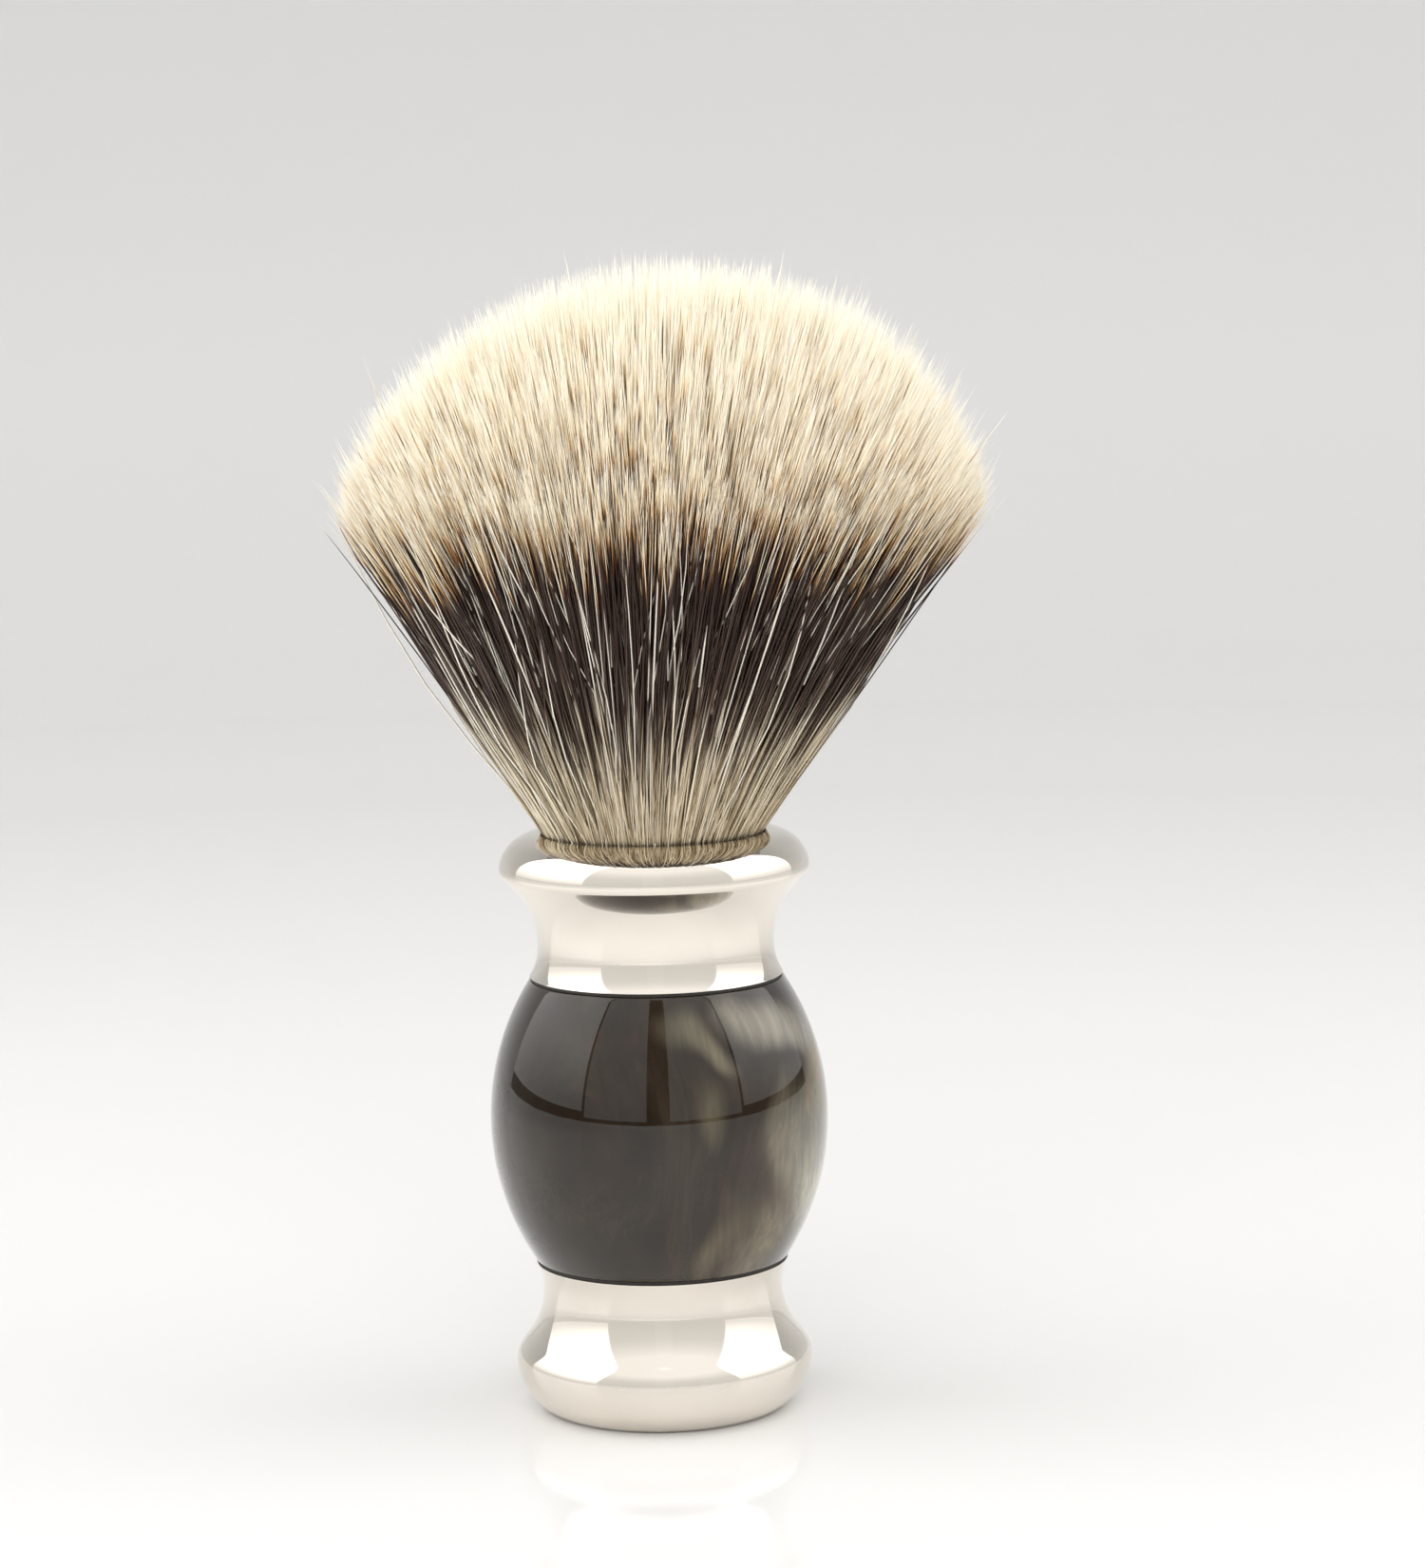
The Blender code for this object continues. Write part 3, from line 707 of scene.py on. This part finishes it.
def leaned(points):
    """The bundle's slight lean towards +X, which starts softly above the mouth."""
    height = np.maximum(points[..., 2] - MOUTH_Z, 0.0)
    t = np.minimum(height / LEAN_START, 1.0)
    gain = LEAN_START * (t**3 - t**4 / 2) + np.maximum(height - LEAN_START, 0.0)
    result = points.copy()
    result[..., 0] += LEAN * gain
    return result


ends = hair_length(np.array([0.0, 0.5, 1.0]))
print("hair lengths at centre, half way and outside, mm:", np.round(ends, 1))

# %% [markdown]
# ## One strip of colour for every hair
# A badger hair is pale at the root, nearly black in a broad band, then turns through brown and gold to a
# cream tip. The bands sit at nearly the same distance from the tip on every hair, so the colour can be
# looked up from two numbers that travel with the mesh as texture coordinates. The first runs from root to
# tip and is fitted to each hair's own bands. The second is that hair's own tone, so neighbours differ.
#
# Three colour ramps hold the bands of a dark hair, a light hair and one of the few pale hairs, and the tone
# picks between them. The first stops are almost black: a painted shadow, the fine dark line where the hair
# leaves the metal. The colours never depend on anything else, which keeps thousands of hairs as one light
# material.

# %% Make the hair material
BAND_STOPS = {
    "root": 0.0, "mouth": 0.06, "root_end": 0.28, "dark": 0.42, "dark_third": 0.453, "dark_two_thirds": 0.487,
    "dark_end": 0.52, "tip": 0.74, "tip_half": 0.87, "tip_near": 0.975, "end": 1.0,
}
PALE_FROM = 0.95  # tones above this are pale hairs

hair, hair_tree, hair_shader = new_material("badger_hair")
hair_map = add(hair_tree, "ShaderNodeUVMap", uv_map="OFBake")
hair_axes = add(hair_tree, "ShaderNodeSeparateXYZ", {0: hair_map.outputs[0]})
hair_band, hair_tone = hair_axes.outputs[0], hair_axes.outputs[1]
tone_place = add(hair_tree, "ShaderNodeVectorMath", {
    0: hair_map.outputs[0], 1: (9.0, 260.0, 1.0)
}, operation="MULTIPLY").outputs[0]
hair_grain = noise(hair_tree, tone_place, 2.0, 0.6)

# The first stop of the dark ramp and of the light ramp is painted shadow where the hair meets the collar's
# mouth.
dark_bands = ramp(hair_tree, hair_band, [
    (0.060, (0.075, 0.058, 0.034)), (0.072, (0.29, 0.205, 0.11)), (0.28, (0.33, 0.235, 0.13)),
    (0.42, (0.032, 0.017, 0.012)), (0.52, (0.024, 0.012, 0.009)), (0.62, (0.20, 0.075, 0.023)),
    (0.70, (0.54, 0.29, 0.10)), (0.80, (0.89, 0.73, 0.46)), (1.00, (0.96, 0.90, 0.75)),
])
light_bands = ramp(hair_tree, hair_band, [
    (0.060, (0.17, 0.14, 0.09)), (0.072, (0.86, 0.77, 0.58)), (0.28, (0.94, 0.86, 0.68)),
    (0.42, (0.12, 0.076, 0.056)), (0.52, (0.068, 0.039, 0.029)), (0.62, (0.40, 0.19, 0.07)),
    (0.70, (0.82, 0.59, 0.30)), (0.80, (0.97, 0.88, 0.67)), (1.00, (0.985, 0.96, 0.88)),
])
pale_bands = ramp(hair_tree, hair_band, [
    (0.00, (0.80, 0.74, 0.62)), (0.42, (0.86, 0.80, 0.70)),
    (0.70, (0.94, 0.88, 0.76)), (1.00, (0.98, 0.96, 0.88)),
])
tone_shift = limits(hair_tree, hair_grain.outputs[0], 0.3, 0.7, -0.2, 0.2)
tone_mixed = math_node(hair_tree, "ADD", hair_tone, tone_shift, clamp=True)
hair_colour = blend_colours(hair_tree, tone_mixed, dark_bands, light_bands)
is_pale = limits(hair_tree, hair_tone, PALE_FROM - 0.005, PALE_FROM)
hair_colour = blend_colours(hair_tree, is_pale, hair_colour, pale_bands)
hair_rough = limits(hair_tree, hair_grain.outputs[0], 0.3, 0.7, 0.4, 0.6)
feed(hair_tree, hair_shader, {"Base Color": hair_colour, "Roughness": hair_rough})
hair_shader.inputs["Specular IOR Level"].default_value = 0.3
print("hair nodes:", len(hair_tree.nodes))

# %% [markdown]
# ## Where the bands fall on each hair
# The bands are not level rings. The dark band starts at a scattered height, and the cream tip is short on
# the outer hairs and long in the middle. At the front and the back of this knot the outer hairs are dark
# almost to their tips, so each hair also knows how squarely it faces those sides. Rings are put exactly
# where a band begins and ends, so the colour changes at the right place however few rings a hair has.

# %% Fit the bands to the hairs
SPARE_LENGTH = 20.0  # longer than any cream tip


def band_rings(share, facing, length, count, cream, inner_start=None, rings=7):
    """Ring distances along each hair and the band coordinate at each ring."""
    dark_start = rng.normal(11.4, 3.3, count).clip(4.5, 20.0)
    tip_length = 2.9 + 7.2 * (1 - share) ** 0.75 - 2.4 * facing * share**5
    tip_length += rng.normal(0, 1.8, count) + cream
    tip_start = length - tip_length.clip(0.9, SPARE_LENGTH)
    dark_start = np.minimum(dark_start, tip_start - 7.0)
    fade_low, fade_high = rng.uniform(1.2, 3.2, count), rng.uniform(1.3, 3.7, count)
    dark_end = np.maximum(tip_start - fade_high, dark_start + fade_low + 1.0)
    dark = dark_start + fade_low
    marks = {
        "root": np.full(count, -ROOT_DEPTH), "mouth": np.zeros(count), "root_end": dark_start - fade_low,
        "dark": dark, "dark_third": 0.67 * dark + 0.33 * dark_end,
        "dark_two_thirds": 0.33 * dark + 0.67 * dark_end, "dark_end": dark_end, "tip": tip_start,
        "tip_half": (tip_start + length) / 2, "tip_near": length - 0.6, "end": length,
    }
    along = np.stack(list(marks.values()), axis=1)
    bands = np.repeat(np.array([[BAND_STOPS[name] for name in marks]]), count, axis=0)
    if inner_start is None:
        return along, bands
    first = inner_start * length
    wanted = np.linspace(0, 1, rings)[None, :] ** 0.85
    inner_along = first[:, None] + (length - first)[:, None] * wanted
    rows = zip(inner_along, along, bands, strict=True)
    return inner_along, np.stack([np.interp(inner, outer, band) for inner, outer, band in rows])


print("bands, root to tip:", ", ".join(BAND_STOPS))

# %% [markdown]
# ## Locks, strays and thickness
# Hair never stands perfectly even. Tips gather into small locks, some hairs cross their neighbours, and a
# few stand out beyond the dome. Each of these is a small shift of the path that grows towards the tip.

# %% Gather the tips into locks
LOCKS = 1500
AT_ONCE = 4000  # hairs compared with all locks at one time, to save memory
lock_share = np.sqrt(rng.uniform(0, 1, LOCKS))
lock_azimuth = rng.uniform(0, 2 * np.pi, LOCKS)
lock_seat = np.stack([lock_share * np.cos(lock_azimuth), lock_share * np.sin(lock_azimuth)], axis=1)
lock_pull = rng.uniform(0.1, 0.5, LOCKS)
lock_lift = rng.normal(0, 0.35, LOCKS)
lock_cream = rng.normal(0, 2.0, LOCKS)
lock_tilt = np.radians(rng.normal(0, 0.5, LOCKS))
lock_swing = np.radians(rng.normal(0, 0.9, LOCKS))


def nearest_lock(share, azimuth):
    """The lock whose centre is closest to each hair."""
    seat = np.stack([share * np.cos(azimuth), share * np.sin(azimuth)], axis=1)
    result = np.empty(len(seat), dtype=int)
    for first in range(0, len(seat), AT_ONCE):
        gap = seat[first:first + AT_ONCE, None, :] - lock_seat[None, :, :]
        result[first:first + AT_ONCE] = np.argmin((gap**2).sum(axis=2), axis=1)
    return result


print("locks:", LOCKS)

# %% Build the rows of hairs
SPREADS = np.array([1.0, 2.8, 5.5])  # degrees of disorder: most hairs, some hairs, a few hairs
SPREAD_SHARES = [0.82, 0.15, 0.03]
PALE_SHARE = 0.10
PALE_SPREAD = np.radians(2.4)
BOW = 0.38  # how far a hair bows out of line
PALE_BOW = 1.8  # pale hairs are springier, and bow this many times further
THICKNESS = (0.062, 0.112)
TAPER_FROM_TIP = [0, 0.8, 3.5, 8.0, 13.0]
TAPER = [0.08, 0.22, 0.52, 0.88, 1.0]


def hair_rows(share, azimuth, inner_start=None, rings=7, stray=False):
    """Ring centres, band coordinates, radii and tones for a set of hairs, one row to a hair."""
    count = len(share)
    locks = nearest_lock(share, azimuth)
    facing = np.sin(azimuth) ** 2
    shorter = np.abs(rng.normal(0, 1.7, count)) * (1 - 0.35 * facing * share**4)
    shorter += 2.2 * share**8 * (1 - 0.9 * facing) * rng.uniform(0, 1, count)
    length = hair_length(share) - shorter.clip(0, 6.0) + lock_lift[locks]
    spread = np.radians(rng.choice(SPREADS, count, p=SPREAD_SHARES))
    if stray:
        length += rng.uniform(0.3, 2.6, count)
        spread = np.radians(rng.uniform(1.0, 3.5, count))
    pale = rng.uniform(0, 1, count) < PALE_SHARE
    spread = np.where(pale, np.maximum(spread, PALE_SPREAD), spread)
    tilt = rng.normal(0, 1, count) * spread + lock_tilt[locks]
    swing = rng.normal(0, 1, count) * spread + lock_swing[locks]
    if not stray:
        tilt = np.minimum(tilt, np.radians(0.9 + 22 * (1 - share)))
    along, bands = band_rings(share, facing, length, count, lock_cream[locks], inner_start, rings)
    reach = (along / length[:, None]).clip(0, 1)
    column = [v[:, None] for v in (share, azimuth, tilt, swing)]
    points = fan_path(column[0], column[1], along, column[2], column[3])
    lock_length = hair_length(lock_share[locks]) + lock_lift[locks]
    zero = np.zeros(count)
    lock_tip = fan_path(lock_share[locks], lock_azimuth[locks], lock_length, zero, zero)
    pull = (lock_pull[locks] * (0.0 if stray else 1.0))[:, None] * reach**3
    points += pull[..., None] * (lock_tip - points[:, -1])[:, None, :]
    waves = np.sin(reach * np.pi * rng.uniform(0.8, 1.8, (count, 1)))
    bow = rng.normal(0, BOW, (count, 1, 3)) * (waves * np.minimum(reach * 3, 1.0))[..., None]
    points += bow * np.where(pale, PALE_BOW, 1.0)[:, None, None]
    thickness = rng.uniform(*THICKNESS, count)[:, None]
    radii = thickness * np.interp(length[:, None] - along, TAPER_FROM_TIP, TAPER)
    tone = rng.uniform(0.02, PALE_FROM - 0.01, count)
    tone = np.where(pale, rng.uniform(PALE_FROM + 0.005, 0.995, count), tone)
    return leaned(points), bands, radii, tone


SIDES = 3
TONE_SLIVER = 0.0006  # keeps the strip of colour from having no width at all


def tube_piece(name, rows):
    """One mesh of three-sided tubes, smoothly shaded, with the two numbers for the colours."""
    points, bands, radii, tone = rows
    count, rings = bands.shape
    run = np.gradient(points, axis=1)
    run /= np.linalg.norm(run, axis=2, keepdims=True)
    side = np.cross(run, np.array([0.31, 0.87, 0.05]))
    side /= np.linalg.norm(side, axis=2, keepdims=True)
    other = np.cross(run, side)
    corners = []
    for turn in np.radians(np.arange(SIDES) * 360 / SIDES):
        corners.append(points + radii[..., None] * (math.cos(turn) * side + math.sin(turn) * other))
    vertices = np.stack(corners, axis=2).reshape(-1, 3) * MM
    hair_base = (np.arange(count) * rings * SIDES)[:, None, None]
    ring_base = (np.arange(rings - 1) * SIDES)[None, :, None]
    around = np.arange(SIDES)[None, None, :]
    after = (around + 1) % SIDES
    low_a, low_b = hair_base + ring_base + around, hair_base + ring_base + after
    quads = np.stack([low_a, low_b, low_b + SIDES, low_a + SIDES], axis=-1).reshape(-1, 4)
    ends_at = hair_base[:, 0] + np.array([[0, 2, 1]])
    tips_at = hair_base[:, 0] + (rings - 1) * SIDES + np.array([[0, 1, 2]])
    loops = np.concatenate([quads.ravel(), ends_at.ravel(), tips_at.ravel()])
    starts = np.concatenate([np.arange(len(quads)) * 4, len(quads) * 4 + np.arange(2 * count) * 3])
    mesh = bpy.data.meshes.new(name)
    mesh.vertices.add(len(vertices))
    mesh.vertices.foreach_set("co", vertices.ravel())
    mesh.loops.add(len(loops))
    mesh.loops.foreach_set("vertex_index", loops.astype(np.int32))
    mesh.polygons.add(len(starts))
    mesh.polygons.foreach_set("loop_start", starts.astype(np.int32))
    mesh.polygons.foreach_set("use_smooth", np.ones(len(starts), dtype=bool))
    mesh.update(calc_edges=True)
    sliver = np.array([-TONE_SLIVER, 0.0, TONE_SLIVER])[None, None, :]
    across = np.broadcast_to(tone[:, None, None] + sliver, (count, rings, 3))
    down = np.broadcast_to(bands[:, :, None], (count, rings, 3))
    by_vertex = np.stack([down.ravel(), across.ravel()], axis=1)
    texture = mesh.uv_layers.new(name="OFBake")
    texture.data.foreach_set("uv", by_vertex[loops].astype(np.float32).ravel())
    mesh.materials.append(hair)
    piece = bpy.data.objects.new(name, mesh)
    bpy.context.scene.collection.objects.link(piece)
    print(f"{name}: {count} hairs, {len(quads) * 2 + 2 * count} triangles")
    return piece


# %% [markdown]
# ## Sharing out the hairs
# The outer hairs are seen for their whole length, so they run from the socket to the tip. The inner hairs
# show only near the dome, so their tubes start half way up. The bundle is cut into sectors like a cake,
# which keeps each mesh at a size that is easy to handle.

# %% Grow the knot
MANTLE_HAIRS = 4600
MANTLE_FROM = 0.86  # share of the mouth's radius where the outer layer begins
INNER_HAIRS = 26000
INNER_TO = 0.95
INNER_START = 0.5
STRAY_HAIRS = 190
SECTORS = 6


def finish_hair(piece):
    """Bakes the piece's placement into its mesh and hides the frame's knot, whose place it takes."""
    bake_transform(piece)
    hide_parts("hair_root", "hair_bloom")


for sector in range(SECTORS):
    first, last = 2 * np.pi * sector / SECTORS, 2 * np.pi * (sector + 1) / SECTORS
    mantle_count = MANTLE_HAIRS // SECTORS
    mantle_share = np.sqrt(rng.uniform(MANTLE_FROM**2, 1.0, mantle_count))
    mantle_rows = hair_rows(mantle_share, rng.uniform(first, last, mantle_count))
    finish_hair(tube_piece(f"outer_hair_{sector + 1}", mantle_rows))
    inner_count = INNER_HAIRS // SECTORS
    inner_share = np.sqrt(rng.uniform(0, INNER_TO**2, inner_count))
    inner_rows = hair_rows(inner_share, rng.uniform(first, last, inner_count), inner_start=INNER_START)
    finish_hair(tube_piece(f"inner_hair_{sector + 1}", inner_rows))

stray_share = np.sqrt(rng.uniform(0.05, 1.0, STRAY_HAIRS))
stray_share[::5] = rng.uniform(0.97, 1.0, len(stray_share[::5]))
stray_azimuth = rng.uniform(0, 2 * np.pi, STRAY_HAIRS)
stray_rows = hair_rows(stray_share, stray_azimuth, inner_start=0.0, rings=18, stray=True)
finish_hair(tube_piece("stray_hair", stray_rows))

# %% [markdown]
# ## The dense heart of the knot
# Deep inside, thousands more hairs stand so close that no light comes through. A closed body a few
# millimetres inside the visible hairs does their work. It carries the same bands and tones, in fine ridges
# that run with the hair, so any gap shows more hair.

# %% Build the heart
CORE_COLUMNS = 240
CORE_SIDE_RINGS = 26
CORE_TOP_RINGS = 15
CORE_SHARE = 0.90
CORE_DEPTH = 8.0  # how far under the dome the heart ends
HALF_FADE = 2.5
CORE_FADE = 4.0

quarter = np.linspace(0, np.pi / 2, CORE_TOP_RINGS + 1)[1:]
core_share = np.concatenate([np.full(CORE_SIDE_RINGS, CORE_SHARE), CORE_SHARE * np.cos(quarter)])
core_length = hair_length(core_share)
core_reach = np.concatenate([np.linspace(0.0, 1.0, CORE_SIDE_RINGS), np.ones(CORE_TOP_RINGS)])
core_along = -ROOT_DEPTH + core_reach * (core_length - CORE_DEPTH + ROOT_DEPTH)
core_rings = len(core_along)
core_tone = rng.uniform(0.1, 0.85, CORE_COLUMNS)
core_azimuth = np.linspace(0, 2 * np.pi, CORE_COLUMNS, endpoint=False)
core_ridge = 1.0 - 0.02 * rng.uniform(0, 1, CORE_COLUMNS)
core_dark = rng.normal(12.3, 1.5, CORE_COLUMNS)
core_cream = rng.normal(5.6, 1.5, CORE_COLUMNS)
core_stops = [BAND_STOPS[name] for name in ("root", "root_end", "dark", "dark_end", "tip", "end")]

core_points, core_bands = [], []
for column in range(CORE_COLUMNS):
    zero = np.zeros(core_rings)
    azimuth = np.full(core_rings, core_azimuth[column])
    ridge_share = core_share * core_ridge[column]
    core_points.append(leaned(fan_path(ridge_share, azimuth, core_along, zero, zero)))
    tip_start = core_length - core_cream[column] - 3.0 * (1 - core_share)
    low_marks = [-ROOT_DEPTH, core_dark[column] - HALF_FADE, core_dark[column] + HALF_FADE]
    rows = zip(core_along, tip_start, core_length, strict=True)
    core_bands.append([np.interp(a, [*low_marks, t - CORE_FADE, t, end], core_stops) for a, t, end in rows])
core_points, core_bands = np.array(core_points), np.array(core_bands)

core_faces = []
for column in range(CORE_COLUMNS):
    here, there = column * core_rings, (column + 1) % CORE_COLUMNS * core_rings
    core_faces += [(here + k, there + k, there + k + 1, here + k + 1) for k in range(core_rings - 1)]
core_faces.append(tuple(column * core_rings for column in reversed(range(CORE_COLUMNS))))
core_mesh = bpy.data.meshes.new("hair_heart")
core_mesh.from_pydata((core_points.reshape(-1, 3) * MM).tolist(), [], core_faces)

core_tones = np.repeat(core_tone[:, None], core_rings, axis=1)
core_tones[:, CORE_SIDE_RINGS:] = rng.uniform(0.05, 0.85, (CORE_COLUMNS, CORE_TOP_RINGS))
core_uv = np.stack([core_bands, core_tones], axis=-1).reshape(-1, 2)
core_loops = np.empty(len(core_mesh.loops), dtype=np.int32)
core_mesh.loops.foreach_get("vertex_index", core_loops)
core_texture = core_mesh.uv_layers.new(name="OFBake")
core_texture.data.foreach_set("uv", core_uv[core_loops].astype(np.float32).ravel())
core_mesh.materials.append(hair)
core_mesh.shade_smooth()
heart = bpy.data.objects.new("hair_heart", core_mesh)
bpy.context.scene.collection.objects.link(heart)
finish_hair(heart)
print("heart faces:", len(core_faces))

# %% [markdown]
# ## Floor and room
# The brush stands on a smooth white table that runs up into a pale wall all round, with a wide bend between
# them instead of a corner. The table has a faint gloss, which gives the foot a soft reflection to stand on,
# and it is a little greyer further out, so that cream hair still shows against it.

# %% Build the white cove
COVE_RADIUS = 1.8
COVE_BEND = 1.2
COVE_TOP = 1.7

white, white_tree, white_shader = new_material("white_table")
white_place = add(white_tree, "ShaderNodeTexCoord").outputs["Object"]
white_reach = add(white_tree, "ShaderNodeVectorMath", {0: white_place}, operation="LENGTH")
white_colour = ramp(white_tree, white_reach.outputs["Value"], [
    (0.2, (0.80, 0.797, 0.793)), (0.45, (0.70, 0.698, 0.695)), (1.0, (0.88, 0.88, 0.88))
])
feed(white_tree, white_shader, {"Base Color": white_colour})
white_shader.inputs["Roughness"].default_value = 0.09
white_shader.inputs["IOR"].default_value = 1.3

cove_bend = arc((COVE_RADIUS - COVE_BEND, COVE_BEND), (COVE_BEND, COVE_BEND), -90, 0, steps=24)
cove_profile = [(0, 0), *cove_bend, (COVE_RADIUS, COVE_TOP)]
cove = turned("cove", cove_profile, white, edge=0.001 * MM, segments=96)

# %% [markdown]
# ## Soft light from large panels
# Mirror-bright metal shows the room, so the room is made of big soft panels. A calm wall of light stands
# round the camera and gives the warm grey on the metal. Two brighter panels stand further round and give
# the white patches on the lip and the rim. All of them grow brighter with height, which whitens the sloping
# shoulder of the foot and leaves the upright metal calm. A light overhead serves the hair and the table, and
# a small one low in front opens up the shadows between the hairs.
#
# In the resin's polish the panels show as separate windows with dark bars between them. On the bright
# metal those bars would be distracting, so a strip of light stands behind the bars and is linked to
# everything except the grip.

# %% Build the panels
PANEL_RADIUS = 0.75
PLAIN_WHITE = (1.0, 0.99, 0.975)
LOW_EDGE, HIGH_EDGE = 0.035, 1.35


PANEL_COLUMNS = 12


def panel(name, azimuths, heights, strength, low_share, middle_share, radius=PANEL_RADIUS):
    """A curved glowing panel, dimmer lower down. Azimuths are in degrees from the camera."""
    glow, glow_tree, glow_shader = new_material(name)
    glow_place = add(glow_tree, "ShaderNodeTexCoord").outputs["Object"]
    glow_height = add(glow_tree, "ShaderNodeSeparateXYZ", {0: glow_place}).outputs[2]
    low_glow, middle_glow = (tuple(share * c for c in PLAIN_WHITE) for share in (low_share, middle_share))
    glow_stops = [(0.1, low_glow), (0.4, middle_glow), (0.85, PLAIN_WHITE)]
    feed(glow_tree, glow_shader, {"Emission Color": ramp(glow_tree, glow_height, glow_stops)})
    glow_shader.inputs["Base Color"].default_value = (0, 0, 0, 1)
    glow_shader.inputs["Specular IOR Level"].default_value = 0
    glow_shader.inputs["Emission Strength"].default_value = strength
    turn = np.radians(np.linspace(*azimuths, PANEL_COLUMNS + 1))
    low = [(radius * math.sin(a), -radius * math.cos(a), heights[0]) for a in turn]
    high = [(x, y, heights[1]) for x, y, _ in low]
    above = PANEL_COLUMNS + 1
    mesh = bpy.data.meshes.new(name)
    mesh.from_pydata(low + high, [], [(i, i + 1, above + i + 1, above + i) for i in range(PANEL_COLUMNS)])
    mesh.materials.append(glow)
    piece = bpy.data.objects.new(name, mesh)
    bpy.context.scene.collection.objects.link(piece)
    piece.visible_camera = False
    return piece


panel("front_panel_left", (-51, -7.8), (LOW_EDGE, HIGH_EDGE), 1.2, 0.68, 0.74)
panel("front_panel_right", (7.8, 58), (LOW_EDGE, HIGH_EDGE), 1.2, 0.68, 0.74)
panel("side_panel_left", (-122, -53), (LOW_EDGE + 0.03, HIGH_EDGE), 2.2, 0.5, 0.95)
panel("side_panel_right", (60, 122), (LOW_EDGE + 0.03, HIGH_EDGE), 2.1, 0.5, 0.95)
behind_bars = panel(
    "panel_behind_bars", (-122, 122), (0.0, HIGH_EDGE), 1.2, 0.70, 0.76, radius=PANEL_RADIUS + 0.03
)

not_the_grip = bpy.data.collections.new("all but the grip")
not_the_grip.objects.link(grip)
not_the_grip.collection_objects[0].light_linking.link_state = "EXCLUDE"
behind_bars.light_linking.receiver_collection = not_the_grip


def soft_light(name, shape, size, energy, place):
    """A flat light that faces the hair and isn't seen itself."""
    light = bpy.data.lights.new(name, "AREA")
    light.shape = shape
    light.size, light.size_y = size
    light.energy = energy
    light.color = PLAIN_WHITE
    lamp = bpy.data.objects.new(name, light)
    bpy.context.scene.collection.objects.link(lamp)
    lamp.location = place
    lamp.rotation_euler = (Vector((0, 0, 0.07)) - lamp.location).to_track_quat("-Z", "Y").to_euler()
    lamp.visible_camera = False
    return lamp


soft_light("top_light", "DISK", (1.7, 1.7), 8.6, (0, 0, 1.35))
fill = soft_light("fill_light", "RECTANGLE", (0.8, 0.4), 3.2, (-0.08, -0.66, 0.30))
fill.visible_glossy = False

world = bpy.data.worlds.new("room")
bpy.context.scene.world = world
world.use_nodes = True
backdrop = world.node_tree.nodes["Background"]
backdrop.inputs["Color"].default_value = (1, 0.995, 0.985, 1)
backdrop.inputs["Strength"].default_value = 0.25
print("lights:", sorted(light.name for light in bpy.data.lights))

# %% [markdown]
# ## Colour management
# A bright product picture wants clean whites, so the plain Standard transform is used and the exposure is
# set by the lights.

# %% Set the view transform
bpy.context.scene.view_settings.view_transform = "Standard"
bpy.context.scene.cycles.use_denoising = True
bpy.context.scene.cycles.max_bounces = 10
print("view transform:", bpy.context.scene.view_settings.view_transform)
